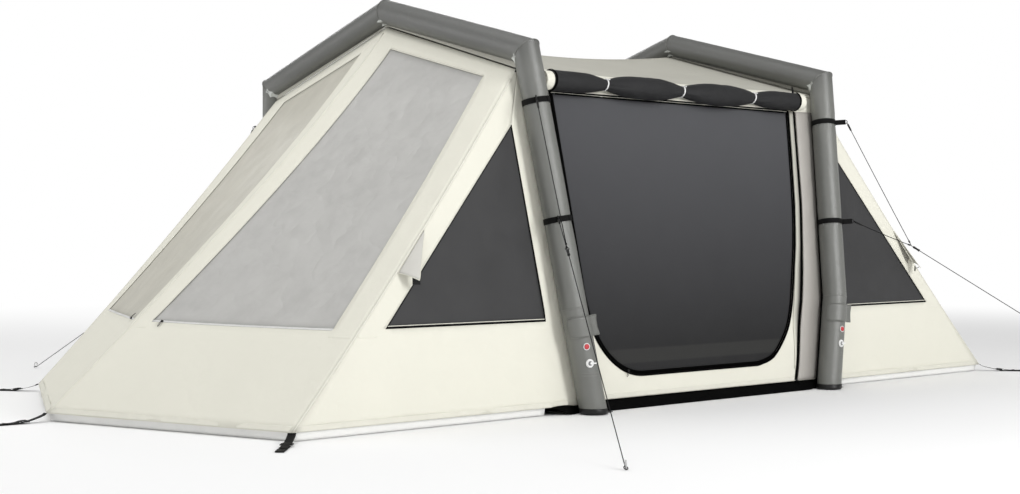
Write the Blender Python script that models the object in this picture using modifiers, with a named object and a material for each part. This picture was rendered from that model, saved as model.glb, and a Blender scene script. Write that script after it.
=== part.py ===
"""Inflatable tunnel tent: two air-beam arches, a fabric body with two prow-shaped ends,
a D-shaped mesh door under a rolled outer door, a tray groundsheet, guy lines and peg straps.

Metres, +Z up. X runs along the tunnel, -Y is the door side, and the origin is the middle
of the footprint on the ground. The tent is symmetric about X = 0 and Y = 0 except for the
door, its roll and the valves. Key points are given for the +X +Y quarter and mirrored.
"""
import math

import bmesh
import bpy
from mathutils import Matrix, Vector

# Air beams: an inflated sleeve on each arch, given by its centreline.
BEAM_RADIUS = 0.066
BEAM_SIDES = 16
SLEEVE_WALL = 0.0012
BLADDER_RADIUS = 0.0640
BLADDER_WALL = 0.0008
FOOT = Vector((0.900, 1.410, 0.000))
KNEE = Vector((1.000, 1.372, 0.513))
SHOULDER = Vector((1.125, 1.174, 1.750))
APEX = Vector((1.120, 0.000, 2.071))
SHOULDER_BEND = 0.080
APEX_BEND = 0.060
SLEEVE_FOOT_HEIGHT = 0.016
BLADDER_FOOT_HEIGHT = 0.045

# Fabric body: the skin hangs on the inner side of the beams.
PANEL = 0.002
MESH_CLOTH = 0.0012
SEAM_GAP = 0.003
HEM = 0.039
SKIN_APEX = Vector((1.115, 0.000, 1.996))
SKIN_EAVE = Vector((1.138, 1.113, 1.671))
SKIN_KNEE = Vector((1.000, 1.298, 0.510))
SKIN_BASE = Vector((0.908, 1.335, HEM))
CORNER = Vector((2.533, 1.320, HEM))
PROW = Vector((3.038, 0.000, HEM))
HIP_SAG = 0.080
SIDE_SEAM_SAG = 0.031
RIDGE_SAG = 0.075
EAVE_SAG = 0.012
WALL_BOTTOM = 0.052

# Windows, as heights and as fractions across their panel.
END_WINDOW_BOTTOM = (0.458, 0.451)
END_WINDOW_TOP = (1.890, 1.592)
END_WINDOW_BOTTOM_SPAN = (0.079, 0.890)
END_WINDOW_TOP_SPAN = (0.129, 0.827)
SIDE_WINDOW_BOTTOM = 0.450
SIDE_WINDOW_TOP = 1.390
SIDE_WINDOW_BOTTOM_X = (1.113, 2.025)
SIDE_WINDOW_TOP_X = 1.205
WINDOW_ROWS = 4

# Door: a D shape with its straight edge at the top.
DOOR_TOP = 1.565
DOOR_BOTTOM = 0.165
DOOR_LEFT_TOP = -0.935
DOOR_LEFT_CURVE = -0.862
DOOR_LEFT_FOOT = -0.480
DOOR_CURVE_Z = 0.640
DOOR_CURVE_STEPS = 7
DOOR_RIGHT = (
    (0.400, 0.165), (0.515, 0.196), (0.602, 0.274), (0.672, 0.380), (0.726, 0.570),
    (0.785, 0.800), (0.824, 1.030), (0.853, 1.340), (0.870, 1.565),
)

# Rolled outer door, held up by ties that pinch it.
ROLL_RADIUS = 0.056
ROLL_CENTRE = (-1.182, 1.628)
ROLL_X = (-1.038, 0.929)
ROLL_PINCHES = (-0.609, -0.051, 0.517)
ROLL_PINCH_DEPTH = 0.030
ROLL_PINCH_HALF = 0.200

# Groundsheet tray: as wide as the walls between the legs, and set back from the hems at the ends.
TRAY_END = (2.300, 0.950)
TRAY_NOTCH = (1.130, 1.050)
TRAY_BASE = (0.900, 1.316)
TRAY_HEIGHT = 0.045
TRAY_SHEET = 0.0015

# Webbing bands round the legs, with a tab that takes the guy line.
BAND_FRACTIONS = {"lower": 0.339, "upper": 0.801}
BAND_HEIGHT = 0.028
BAND_WALL = 0.002
BAND_INNER = 0.0674
BAND_TAB = 0.060
BAND_SIDES = 24

# Guy lines: a bridle from two bands to a ring, and one line from the ring to its peg.
CORD_RADIUS = 0.002
RING = Vector((1.308, 1.667, 0.800))
RING_RADIUS = 0.006
PEG = Vector((1.972, 2.719, 0.006))
CORD_CLEAR = 0.006
TENSIONER_LENGTH = 0.040
TENSIONER_RADIUS = 0.008
TENSIONER_BORE = 0.0030
TENSIONER_FROM_RING = 0.032

# Peg-out straps at the corners and the prows.
STRAP_WIDTH = 0.038
STRAP_THICK = 0.0025
CORNER_STRAP_END = Vector((2.725, 1.535, 0.003))
PROW_STRAP_END = Vector((3.290, 0.000, 0.003))
STRAP_CLEAR = 0.006

# Valves on the door-side legs.
VALVE_TURN = math.radians(-10.5)
VALVE_SPREAD = math.radians(7.5)
INFLATION_HEIGHT = 0.250
RELIEF_HEIGHT = 0.330
INFLATION_FLANGE = 0.021
INFLATION_NECK = 0.0110
INFLATION_BORE = 0.0070
RELIEF_FLANGE = 0.0172
RELIEF_NECK = 0.0150
RELIEF_BORE = 0.0134
FLANGE_THICK = 0.003
NECK_DEPTH = 0.012
HOLE_CLEAR = 0.0004
BUTTON_RADIUS = 0.0128
BUTTON_PROUD = 0.004
BUTTON_LENGTH = 0.009
CAP_THICK = 0.002
CAP_TONGUE = 0.016

# Fabric flap over the leg's service opening.
FLAP_BOTTOM = 0.372
FLAP_HEIGHT = 0.098
FLAP_RADIUS = 0.0705
FLAP_ANGLES = (-83.0, 45.0)
FLAP_TAIL = 0.045
FLAP_THICK = 0.0015

# Vent flaps on the seam between end wall and side panel.
VENT_TOP = 1.036
VENT_BOTTOM = 1.288
VENT_WIDTH = 0.122
VENT_OPEN = math.radians(50.0)
VENT_LIFT = 0.006

SIDES = {"left": -1.0, "right": 1.0}
FACES = {"near": -1.0, "far": 1.0}

COLOURS = {
    "cream_polyester": ((0.83, 0.82, 0.75), 0.75),
    "roof_polyester": ((0.50, 0.49, 0.44), 0.75),
    "window_film": ((0.50, 0.50, 0.49), 0.30),
    "tinted_film": ((0.07, 0.07, 0.07), 0.45),
    "mesh_cloth": ((0.09, 0.09, 0.10), 0.80),
    "dark_polyester": ((0.035, 0.035, 0.037), 0.70),
    "groundsheet": ((0.010, 0.010, 0.010), 0.50),
    "beam_sleeve": ((0.145, 0.148, 0.135), 0.55),
    "bladder_film": ((0.60, 0.62, 0.60), 0.25),
    "black_webbing": ((0.012, 0.012, 0.012), 0.70),
    "guy_cord": ((0.040, 0.040, 0.042), 0.80),
    "white_plastic": ((0.80, 0.80, 0.80), 0.35),
    "red_plastic": ((0.50, 0.03, 0.04), 0.30),
}


def clear_scene():
    for item in list(bpy.data.objects):
        bpy.data.objects.remove(item, do_unlink=True)


def new_collection(name):
    collection = bpy.data.collections.new(name)
    bpy.context.scene.collection.children.link(collection)
    return collection


def make_materials():
    made = {}
    for name, (colour, roughness) in COLOURS.items():
        mat = bpy.data.materials.new(name)
        mat.use_nodes = True
        shader = mat.node_tree.nodes["Principled BSDF"]
        shader.inputs["Base Color"].default_value = (*colour, 1.0)
        shader.inputs["Roughness"].default_value = roughness
        shader.inputs["Metallic"].default_value = 0.0
        made[name] = mat
    return made


def add_object(name, data, slot):
    item = bpy.data.objects.new(name, data)
    data.materials.append(MATERIALS[slot])
    TENT.objects.link(item)
    return item


def mirrored(point, side, face):
    return Vector((side * point.x, face * point.y, point.z))


def mesh_from(name, points, faces):
    mesh = bpy.data.meshes.new(name)
    build = bmesh.new()
    corners = [build.verts.new(point) for point in points]
    for face in faces:
        build.faces.new([corners[i] for i in face])
    bmesh.ops.recalc_face_normals(build, faces=build.faces)
    build.to_mesh(mesh)
    build.free()
    return mesh


def solidify(item, thickness, offset=0.0):
    shell = item.modifiers.new("Thickness", "SOLIDIFY")
    shell.thickness = thickness
    shell.offset = offset
    return item


def baked(item):
    """Turn a curve or a modified object into a plain mesh object of the same name."""
    bpy.context.view_layer.update()
    graph = bpy.context.evaluated_depsgraph_get()
    mesh = bpy.data.meshes.new_from_object(item.evaluated_get(graph))
    build = bmesh.new()
    build.from_mesh(mesh)
    bmesh.ops.remove_doubles(build, verts=build.verts, dist=0.00001)
    bmesh.ops.recalc_face_normals(build, faces=build.faces)
    build.to_mesh(mesh)
    build.free()
    name = item.name
    matrix = item.matrix_world.copy()
    bpy.data.objects.remove(item, do_unlink=True)
    result = bpy.data.objects.new(name, mesh)
    result.matrix_world = matrix
    TENT.objects.link(result)
    return result


def cut(item, cutter, operation="DIFFERENCE"):
    """Cut or join another solid, apply it, and drop the tool."""
    tool = item.modifiers.new(operation.title(), "BOOLEAN")
    tool.operation = operation
    tool.object = cutter
    result = baked(item)
    bpy.data.objects.remove(cutter, do_unlink=True)
    return result


def grid_panel(name, grid, slot, holes=(), thickness=PANEL):
    """A sheet through a grid of points, without the cells in holes, given a thickness."""
    columns = len(grid[0])
    points = [point for row in grid for point in row]
    faces = []
    for r in range(len(grid) - 1):
        for c in range(columns - 1):
            if (r, c) in holes:
                continue
            first = r * columns + c
            faces.append((first, first + 1, first + columns + 1, first + columns))
    mesh = bpy.data.meshes.new(name)
    build = bmesh.new()
    corners = [build.verts.new(point) for point in points]
    for face in faces:
        build.faces.new([corners[i] for i in face])
    bmesh.ops.remove_doubles(build, verts=build.verts, dist=0.00001)
    loose = [vert for vert in build.verts if not vert.link_faces]
    bmesh.ops.delete(build, geom=loose, context="VERTS")
    build.to_mesh(mesh)
    build.free()
    return solidify(add_object(name, mesh, slot), thickness)


def outline_normal(points):
    total = Vector()
    for here, after in zip(points, points[1:] + points[:1]):
        total += here.cross(after)
    return total.normalized()


def inset(points, distance):
    """Move a closed outline inwards by a distance, within its own surface."""
    normal = outline_normal(points)
    moved = []
    count = len(points)
    for i, here in enumerate(points):
        before = (here - points[i - 1]).normalized()
        after = (points[(i + 1) % count] - here).normalized()
        inward_a = normal.cross(before)
        inward_b = normal.cross(after)
        bisector = (inward_a + inward_b).normalized()
        moved.append(here + bisector * distance / max(0.3, bisector.dot(inward_a)))
    return moved


def filled_panel(name, outline, slot, hole=None, thickness=PANEL):
    """A sheet that fills an outline, round a hole if there is one."""
    mesh = bpy.data.meshes.new(name)
    build = bmesh.new()
    edges = []
    for loop in [outline] + ([hole] if hole else []):
        corners = [build.verts.new(point) for point in loop]
        for here, after in zip(corners, corners[1:] + corners[:1]):
            edges.append(build.edges.new((here, after)))
    bmesh.ops.triangle_fill(build, edges=edges, use_beauty=True)
    bmesh.ops.recalc_face_normals(build, faces=build.faces)
    build.to_mesh(mesh)
    build.free()
    return solidify(add_object(name, mesh, slot), thickness)


def ribbon(name, path, across, slot, thickness):
    """A flat strip along a path, as wide as the vector across."""
    half = across / 2.0
    grid = [[point - half, point + half] for point in path]
    return grid_panel(name, grid, slot, thickness=thickness)


def tube(name, path, radius, sides, slot, capped):
    """A round tube along a path of straight runs."""
    curve = bpy.data.curves.new(name, "CURVE")
    curve.dimensions = "3D"
    curve.bevel_depth = radius
    curve.bevel_resolution = sides // 4 - 1 if sides > 8 else 2
    curve.resolution_u = 1
    curve.render_resolution_u = 0
    curve.use_fill_caps = capped
    spline = curve.splines.new("POLY")
    spline.points.add(len(path) - 1)
    for spot, point in zip(spline.points, path):
        spot.co = (*point, 1.0)
    return add_object(name, curve, slot)


def turned(name, profile, slot, steps=20):
    """A solid of revolution about local Z from a closed (radius, height) profile."""
    mesh = bpy.data.meshes.new(name)
    build = bmesh.new()
    corners = [build.verts.new((radius, 0.0, height)) for radius, height in profile]
    closed = min(radius for radius, height in profile) > 0.0
    pairs = list(zip(corners, corners[1:]))
    if closed:
        pairs.append((corners[-1], corners[0]))
    for here, after in pairs:
        build.edges.new((here, after))
    build.to_mesh(mesh)
    build.free()
    item = add_object(name, mesh, slot)
    screw = item.modifiers.new("Turn", "SCREW")
    screw.axis = "Z"
    screw.angle = math.tau
    screw.steps = steps
    screw.render_steps = steps
    screw.use_merge_vertices = True
    screw.merge_threshold = 0.00001
    return baked(item)


def cylinder(name, radius, height, slot, sides=20):
    mesh = bpy.data.meshes.new(name)
    build = bmesh.new()
    bmesh.ops.create_cone(
        build, cap_ends=True, segments=sides, radius1=radius, radius2=radius, depth=height
    )
    build.to_mesh(mesh)
    build.free()
    return add_object(name, mesh, slot)


def box(name, size, slot):
    mesh = bpy.data.meshes.new(name)
    build = bmesh.new()
    bmesh.ops.create_cube(build, size=1.0)
    bmesh.ops.scale(build, vec=size, verts=build.verts)
    build.to_mesh(mesh)
    build.free()
    return add_object(name, mesh, slot)


def frame_at(origin, z_axis, x_hint):
    """A placement whose local Z is z_axis and whose local X lies near x_hint."""
    z = z_axis.normalized()
    y = z.cross(x_hint).normalized()
    x = y.cross(z)
    return Matrix.Translation(origin) @ Matrix((x, y, z)).transposed().to_4x4()


def rounded_corner(before, corner, after, reach, steps):
    """Points on an even bend that replaces one corner of a path."""
    start = corner + (before - corner).normalized() * reach
    end = corner + (after - corner).normalized() * reach
    points = []
    for i in range(steps + 1):
        t = i / steps
        points.append(start * (1 - t) ** 2 + corner * 2 * t * (1 - t) + end * t * t)
    return points


def leg_axis_point(height):
    """A point on the lower leg's centreline in the +X +Y quarter."""
    return FOOT.lerp(KNEE, height / KNEE.z)


def arch_path(side, foot_height):
    """The centreline of one arch, from the near foot over the top to the far foot."""
    half = [leg_axis_point(foot_height), KNEE]
    half += rounded_corner(KNEE, SHOULDER, APEX, SHOULDER_BEND, 4)
    near = [mirrored(point, side, -1.0) for point in half]
    far = [mirrored(point, side, 1.0) for point in reversed(half)]
    top_near = mirrored(SHOULDER, side, -1.0)
    top_far = mirrored(SHOULDER, side, 1.0)
    apex = mirrored(APEX, side, 1.0)
    return near + rounded_corner(top_near, apex, top_far, APEX_BEND, 2) + far


def valve_placement(side, height):
    """Where a valve meets the beam: local Z points out, local X outward along the tent."""
    centre = mirrored(leg_axis_point(height), side, -1.0)
    axis = mirrored(KNEE - FOOT, side, -1.0).normalized()
    turn = VALVE_TURN + side * VALVE_SPREAD
    out = Vector((math.sin(turn), -math.cos(turn), 0.0))
    out = (out - axis * out.dot(axis)).normalized()
    return frame_at(centre + out * BEAM_RADIUS, out, Vector((1.0, 0.0, 0.0)))


def valve_holes(item, side):
    for height, neck in ((INFLATION_HEIGHT, INFLATION_NECK), (RELIEF_HEIGHT, RELIEF_NECK)):
        drill = cylinder("drill", neck + HOLE_CLEAR, 0.030, "beam_sleeve")
        drill.matrix_world = valve_placement(side, height)
        item = cut(item, drill)
    return item


def make_beam(label, side):
    path = arch_path(side, SLEEVE_FOOT_HEIGHT)
    sleeve = tube(f"air_beam_sleeve_{label}", path, BEAM_RADIUS, BEAM_SIDES, "beam_sleeve", False)
    sleeve = solidify(baked(sleeve), SLEEVE_WALL, -1.0)
    valve_holes(sleeve, side)
    path = arch_path(side, BLADDER_FOOT_HEIGHT)
    bladder = tube(
        f"air_beam_bladder_{label}", path, BLADDER_RADIUS, BEAM_SIDES, "bladder_film", True
    )
    bladder = solidify(baked(bladder), BLADDER_WALL, -1.0)
    valve_holes(bladder, side)


def make_valves(label, side):
    deep = -NECK_DEPTH
    top = FLANGE_THICK + HOLE_CLEAR
    foot = HOLE_CLEAR
    place = valve_placement(side, INFLATION_HEIGHT)
    valve = turned(
        f"inflation_valve_{label}",
        [
            (INFLATION_BORE, top), (INFLATION_FLANGE, top), (INFLATION_FLANGE, foot),
            (INFLATION_NECK, foot), (INFLATION_NECK, deep), (INFLATION_BORE, deep),
        ],
        "white_plastic",
    )
    valve.matrix_world = place
    cap = cylinder(f"inflation_cap_{label}", INFLATION_FLANGE - 0.003, CAP_THICK, "white_plastic")
    tongue = box("tongue", (CAP_TONGUE, 0.006, CAP_THICK), "white_plastic")
    tongue.location.x = INFLATION_FLANGE - 0.004 + CAP_TONGUE / 2.0
    cap = cut(cap, tongue, "UNION")
    cap.matrix_world = place @ Matrix.Translation((0.0, 0.0, top + HOLE_CLEAR + CAP_THICK / 2.0))

    place = valve_placement(side, RELIEF_HEIGHT)
    valve = turned(
        f"relief_valve_{label}",
        [
            (RELIEF_BORE, top), (RELIEF_FLANGE, top), (RELIEF_FLANGE, foot),
            (RELIEF_NECK, foot), (RELIEF_NECK, deep), (RELIEF_BORE, deep),
        ],
        "white_plastic",
    )
    valve.matrix_world = place
    button = turned(
        f"relief_button_{label}",
        [
            (0.0, top + BUTTON_PROUD), (BUTTON_RADIUS * 0.7, top + BUTTON_PROUD),
            (BUTTON_RADIUS, top + BUTTON_PROUD * 0.6),
            (BUTTON_RADIUS, top + BUTTON_PROUD - BUTTON_LENGTH),
            (0.0, top + BUTTON_PROUD - BUTTON_LENGTH),
        ],
        "red_plastic",
    )
    button.matrix_world = place


def make_flap(label, side):
    """A grey cloth flap sewn to the sleeve at one edge; its other end stands off the beam."""
    centre = mirrored(leg_axis_point(FLAP_BOTTOM + FLAP_HEIGHT / 2.0), side, -1.0)
    axis = mirrored(KNEE - FOOT, side, -1.0).normalized()
    out = Vector((0.0, -1.0, 0.0))
    out = (out - axis * out.dot(axis)).normalized()
    right = axis.cross(out)
    right = -right if right.x < 0 else right
    path = []
    low, high = FLAP_ANGLES
    steps = 8
    for i in range(steps + 1):
        angle = math.radians(low + (high - low) * i / steps)
        path.append(centre + (right * math.sin(angle) + out * math.cos(angle)) * FLAP_RADIUS)
    tangent = right * math.cos(math.radians(high)) - out * math.sin(math.radians(high))
    path.append(path[-1] + (tangent * 0.3 + right).normalized() * FLAP_TAIL)
    ribbon(f"valve_flap_{label}", path, axis * FLAP_HEIGHT, "beam_sleeve", FLAP_THICK)


def hip_point(height):
    """The seam over the middle of an end, from the arch down to the prow."""
    s = (SKIN_APEX.z - height) / (SKIN_APEX.z - HEM)
    x = SKIN_APEX.x + (PROW.x - SKIN_APEX.x) * s
    sag = HIP_SAG * math.sin(math.pi * s ** 0.8) if 0.0 < s < 1.0 else 0.0
    return Vector((x - sag, 0.0, height))


def side_seam_point(height):
    """The seam between end wall and side panel, from the eave down to the corner."""
    s = (SKIN_EAVE.z - height) / (SKIN_EAVE.z - HEM)
    point = SKIN_EAVE.lerp(CORNER, s)
    point.x -= SIDE_SEAM_SAG * 4.0 * s * (1.0 - s)
    return point


def leg_line_point(height):
    """The line behind a leg, where side panel and wall meet."""
    if height < SKIN_KNEE.z:
        return SKIN_BASE.lerp(SKIN_KNEE, (height - HEM) / (SKIN_KNEE.z - HEM))
    return SKIN_KNEE.lerp(SKIN_EAVE, (height - SKIN_KNEE.z) / (SKIN_EAVE.z - SKIN_KNEE.z))


def mix(low, high, t):
    return low + (high - low) * t


def end_wall_point(across, hip_height, seam_height, side):
    """A point of an end wall; across runs from -1 at the near seam to 1 at the far seam."""
    point = hip_point(hip_height).lerp(side_seam_point(seam_height), abs(across))
    return mirrored(point, side, -1.0 if across < 0.0 else 1.0)


def end_window_rows():
    """Heights at hip and seam, and the window's inner and outer fractions, bottom to top."""
    rows = []
    for i in range(WINDOW_ROWS + 1):
        t = i / WINDOW_ROWS
        rows.append((
            mix(END_WINDOW_BOTTOM[0], END_WINDOW_TOP[0], t),
            mix(END_WINDOW_BOTTOM[1], END_WINDOW_TOP[1], t),
            mix(END_WINDOW_BOTTOM_SPAN[0], END_WINDOW_TOP_SPAN[0], t),
            mix(END_WINDOW_BOTTOM_SPAN[1], END_WINDOW_TOP_SPAN[1], t),
        ))
    return rows


def make_end_wall(label, side):
    window = end_window_rows()
    hem_row = (HEM, HEM, *END_WINDOW_BOTTOM_SPAN)
    top_row = (SKIN_APEX.z - 0.006, SKIN_EAVE.z - 0.006, *END_WINDOW_TOP_SPAN)
    grid = []
    for hip_height, seam_height, inner, outer in [hem_row] + window + [top_row]:
        reach = 1.0 - SEAM_GAP / 1.2
        across = (-reach, -outer, -inner, 0.0, inner, outer, reach)
        grid.append([end_wall_point(u, hip_height, seam_height, side) for u in across])
    holes = {(r, c) for r in range(1, WINDOW_ROWS + 1) for c in (1, 4)}
    grid_panel(f"end_wall_{label}", grid, "cream_polyester", holes)
    for face_label, face in FACES.items():
        inner_edge = [end_wall_point(face * row[2], row[0], row[1], side) for row in window]
        outer_edge = [end_wall_point(face * row[3], row[0], row[1], side) for row in window]
        outline = inset(inner_edge + outer_edge[::-1], SEAM_GAP)
        filled_panel(f"end_window_{face_label}_{label}", outline, "window_film")


def side_panel_point(x, height, side, face):
    """A point of a side panel, by its distance along the tent and its height."""
    leg = leg_line_point(height)
    seam = side_seam_point(height)
    return mirrored(leg.lerp(seam, (x - leg.x) / (seam.x - leg.x)), side, face)


def make_side_panel(face_label, face, label, side):
    """The triangle between a leg and the end's side seam, with its window."""
    window = []
    for i in range(WINDOW_ROWS + 1):
        t = i / WINDOW_ROWS
        window.append((
            mix(SIDE_WINDOW_BOTTOM, SIDE_WINDOW_TOP, t),
            mix(SIDE_WINDOW_BOTTOM_X[0], SIDE_WINDOW_TOP_X, t),
            mix(SIDE_WINDOW_BOTTOM_X[1], SIDE_WINDOW_TOP_X, t),
        ))
    top = SKIN_EAVE.z - 0.020
    top_x = (leg_line_point(top).x + side_seam_point(top).x) / 2.0
    grid = []
    for height, inner, outer in [(HEM, *SIDE_WINDOW_BOTTOM_X)] + window + [(top, top_x, top_x)]:
        low = leg_line_point(height).x + SEAM_GAP
        high = side_seam_point(height).x - SEAM_GAP
        row = (low, inner, outer, high)
        grid.append([side_panel_point(x, height, side, face) for x in row])
    holes = {(r, 1) for r in range(1, WINDOW_ROWS + 2)}
    grid_panel(f"side_panel_{face_label}_{label}", grid, "cream_polyester", holes)
    inner_edge = [side_panel_point(row[1], row[0], side, face) for row in window[:-1]]
    outer_edge = [side_panel_point(row[2], row[0], side, face) for row in window]
    outline = inset(inner_edge + outer_edge[::-1], SEAM_GAP)
    filled_panel(f"side_window_{face_label}_{label}", outline, "tinted_film")


def wall_point(x, height):
    """A point of the door wall's surface."""
    return Vector((x, -leg_line_point(height).y, height))


def wall_outline(bottom, top):
    """The outline of the wall between two legs, bottom left first, with room at its seams."""
    right = [leg_line_point(height) for height in (bottom, SKIN_KNEE.z, top)]
    edge = [Vector((point.x - SEAM_GAP, -point.y, point.z)) for point in right]
    left = [Vector((-point.x, point.y, point.z)) for point in edge]
    return [left[0], edge[0], edge[1], edge[2], left[2], left[1]]


def door_outline():
    """The D shape, from the top left corner down, along the bottom and up the right side."""
    left = [(DOOR_LEFT_TOP, DOOR_TOP)]
    for i in range(DOOR_CURVE_STEPS + 1):
        angle = math.pi / 2.0 * i / DOOR_CURVE_STEPS
        x = DOOR_LEFT_FOOT + (DOOR_LEFT_CURVE - DOOR_LEFT_FOOT) * math.cos(angle)
        z = DOOR_CURVE_Z + (DOOR_BOTTOM - DOOR_CURVE_Z) * math.sin(angle)
        left.append((x, z))
    return [wall_point(x, z) for x, z in left + list(DOOR_RIGHT)]


def make_walls():
    top = SKIN_EAVE.z - 0.008
    door = door_outline()
    filled_panel("door_wall", wall_outline(WALL_BOTTOM, top), "cream_polyester", hole=door)
    filled_panel("mesh_door", inset(door, SEAM_GAP), "mesh_cloth", thickness=MESH_CLOTH)
    rear = [Vector((point.x, -point.y, point.z)) for point in wall_outline(WALL_BOTTOM, top)]
    filled_panel("rear_wall", rear, "cream_polyester")


def make_roof():
    """The saddle between the arches: its ridge and eaves sag a little between them."""
    grid = []
    for across in (-1.0, -0.5, 0.0, 0.5, 1.0):
        edge = SKIN_APEX.lerp(SKIN_EAVE, abs(across))
        sag = mix(RIDGE_SAG, EAVE_SAG, abs(across))
        y = edge.y * (1.0 if across > 0 else -1.0)
        row = []
        for i in range(9):
            t = -1.0 + 2.0 * i / 8
            x = t * (edge.x - 0.004)
            row.append(Vector((x, y, edge.z - sag * (1.0 - t * t))))
        grid.append(row)
    grid_panel("roof_panel", grid, "roof_polyester")


def make_groundsheet():
    """A tray: a flat floor with a low edge turned up all round."""
    quarter = [Vector((*corner, 0.0)) for corner in (TRAY_END, TRAY_NOTCH, TRAY_BASE)]
    ring = quarter + [mirrored(point, -1.0, 1.0) for point in quarter[::-1]]
    ring += [mirrored(point, -1.0, -1.0) for point in quarter]
    ring += [mirrored(point, 1.0, -1.0) for point in quarter[::-1]]
    floor = Vector((0.0, 0.0, TRAY_SHEET / 2.0))
    points = [point + floor for point in ring]
    points += [point + Vector((0.0, 0.0, TRAY_HEIGHT)) for point in ring]
    count = len(ring)
    faces = [tuple(range(count))]
    for i in range(count):
        after = (i + 1) % count
        faces.append((i, after, after + count, i + count))
    mesh = mesh_from("groundsheet", points, faces)
    solidify(add_object("groundsheet", mesh, "groundsheet"), TRAY_SHEET)


def roll_radius(x):
    """The roll's radius at a place along it, drawn in at each tie."""
    radius = ROLL_RADIUS
    for pinch in ROLL_PINCHES:
        distance = abs(x - pinch) / ROLL_PINCH_HALF
        if distance < 1.0:
            radius -= ROLL_PINCH_DEPTH * (1.0 - distance) ** 2
    return radius


def make_door_roll():
    low, high = ROLL_X
    steps = 30
    profile = [(0.0, high)]
    for i in range(steps + 1):
        x = mix(high, low, i / steps)
        profile.append((roll_radius(x), x))
    profile.append((0.0, low))
    roll = turned("door_roll", profile, "dark_polyester", steps=14)
    y, z = ROLL_CENTRE
    roll.matrix_world = frame_at(Vector((0.0, y, z)), Vector((1, 0, 0)), Vector((0, 0, 1)))


def band_centre(which, side, face):
    return mirrored(KNEE.lerp(SHOULDER, BAND_FRACTIONS[which]), side, face)


def band_direction(which, side, face):
    """The level direction from a band towards the guy line's ring."""
    axis = mirrored(SHOULDER - KNEE, side, face).normalized()
    towards = mirrored(RING, side, face) - band_centre(which, side, face)
    return (towards - axis * towards.dot(axis)).normalized()


def tab_end(which, side, face):
    reach = BAND_INNER + BAND_WALL + BAND_TAB
    return band_centre(which, side, face) + band_direction(which, side, face) * reach


def make_band(which, face_label, face, label, side):
    """A webbing band round a leg: a flat ring with a tab on its outer side."""
    curve = bpy.data.curves.new("band", "CURVE")
    curve.dimensions = "2D"
    curve.fill_mode = "BOTH"
    curve.extrude = BAND_HEIGHT / 2.0
    curve.resolution_u = 1
    curve.render_resolution_u = 0
    outer = BAND_INNER + BAND_WALL
    half_tab = 0.0025
    start = math.asin(half_tab / outer)
    outline = []
    for i in range(BAND_SIDES + 1):
        angle = mix(start, math.tau - start, i / BAND_SIDES)
        outline.append((outer * math.cos(angle), outer * math.sin(angle)))
    outline += [(outer + BAND_TAB, -half_tab), (outer + BAND_TAB, half_tab)]
    bore = []
    for i in range(BAND_SIDES):
        angle = math.tau * i / BAND_SIDES
        bore.append((BAND_INNER * math.cos(angle), BAND_INNER * math.sin(angle)))
    for loop in (outline, bore):
        spline = curve.splines.new("POLY")
        spline.points.add(len(loop) - 1)
        spline.use_cyclic_u = True
        for spot, (x, y) in zip(spline.points, loop):
            spot.co = (x, y, 0.0, 1.0)
    name = f"guy_band_{face_label}_{label}_{which}"
    item = add_object(name, curve, "black_webbing")
    axis = mirrored(SHOULDER - KNEE, side, face).normalized()
    item.matrix_world = frame_at(
        band_centre(which, side, face), axis, band_direction(which, side, face)
    )
    baked(item)


def make_guy_line(face_label, face, label, side):
    """The bridle, the ring and the main line, in one piece, and the tensioner on the line."""
    name = f"guy_line_{face_label}_{label}"
    ring = mirrored(RING, side, face)
    peg = mirrored(PEG, side, face)
    ends = []
    for which in ("upper", "lower"):
        tab = tab_end(which, side, face)
        ends.append(tab + (ring - tab).normalized() * CORD_CLEAR)
    bridle = baked(tube(name, [ends[0], ring, ends[1]], CORD_RADIUS, 8, "guy_cord", True))
    knot = bpy.data.meshes.new("knot")
    build = bmesh.new()
    bmesh.ops.create_uvsphere(build, u_segments=10, v_segments=8, radius=RING_RADIUS)
    build.to_mesh(knot)
    build.free()
    knot_object = add_object("knot", knot, "guy_cord")
    knot_object.location = ring
    bridle = cut(bridle, knot_object, "UNION")
    main = baked(tube("main", [ring, ring.lerp(peg, 0.5), peg], CORD_RADIUS, 8, "guy_cord", True))
    cut(bridle, main, "UNION")

    slide = (peg - ring).normalized()
    body = turned(
        f"line_tensioner_{face_label}_{label}",
        [
            (TENSIONER_BORE, TENSIONER_LENGTH / 2.0),
            (TENSIONER_RADIUS, TENSIONER_LENGTH / 2.0),
            (TENSIONER_RADIUS * 0.75, -TENSIONER_LENGTH / 2.0),
            (TENSIONER_BORE, -TENSIONER_LENGTH / 2.0),
        ],
        "white_plastic",
        steps=12,
    )
    body.matrix_world = frame_at(ring + slide * TENSIONER_FROM_RING, slide, Vector((0, 0, 1)))


def make_peg_strap(name, start, end):
    """Flat webbing from a hem corner down to its peg."""
    run = end - start
    level = Vector((run.x, run.y, 0.0)).normalized()
    across = Vector((-level.y, level.x, 0.0)) * STRAP_WIDTH
    first = start + level * STRAP_CLEAR
    ground = Vector((0.0, 0.0, end.z - start.z))
    path = [first, start + run * 0.45 + ground * 0.25, end]
    ribbon(name, path, across, "black_webbing", STRAP_THICK)


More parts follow.
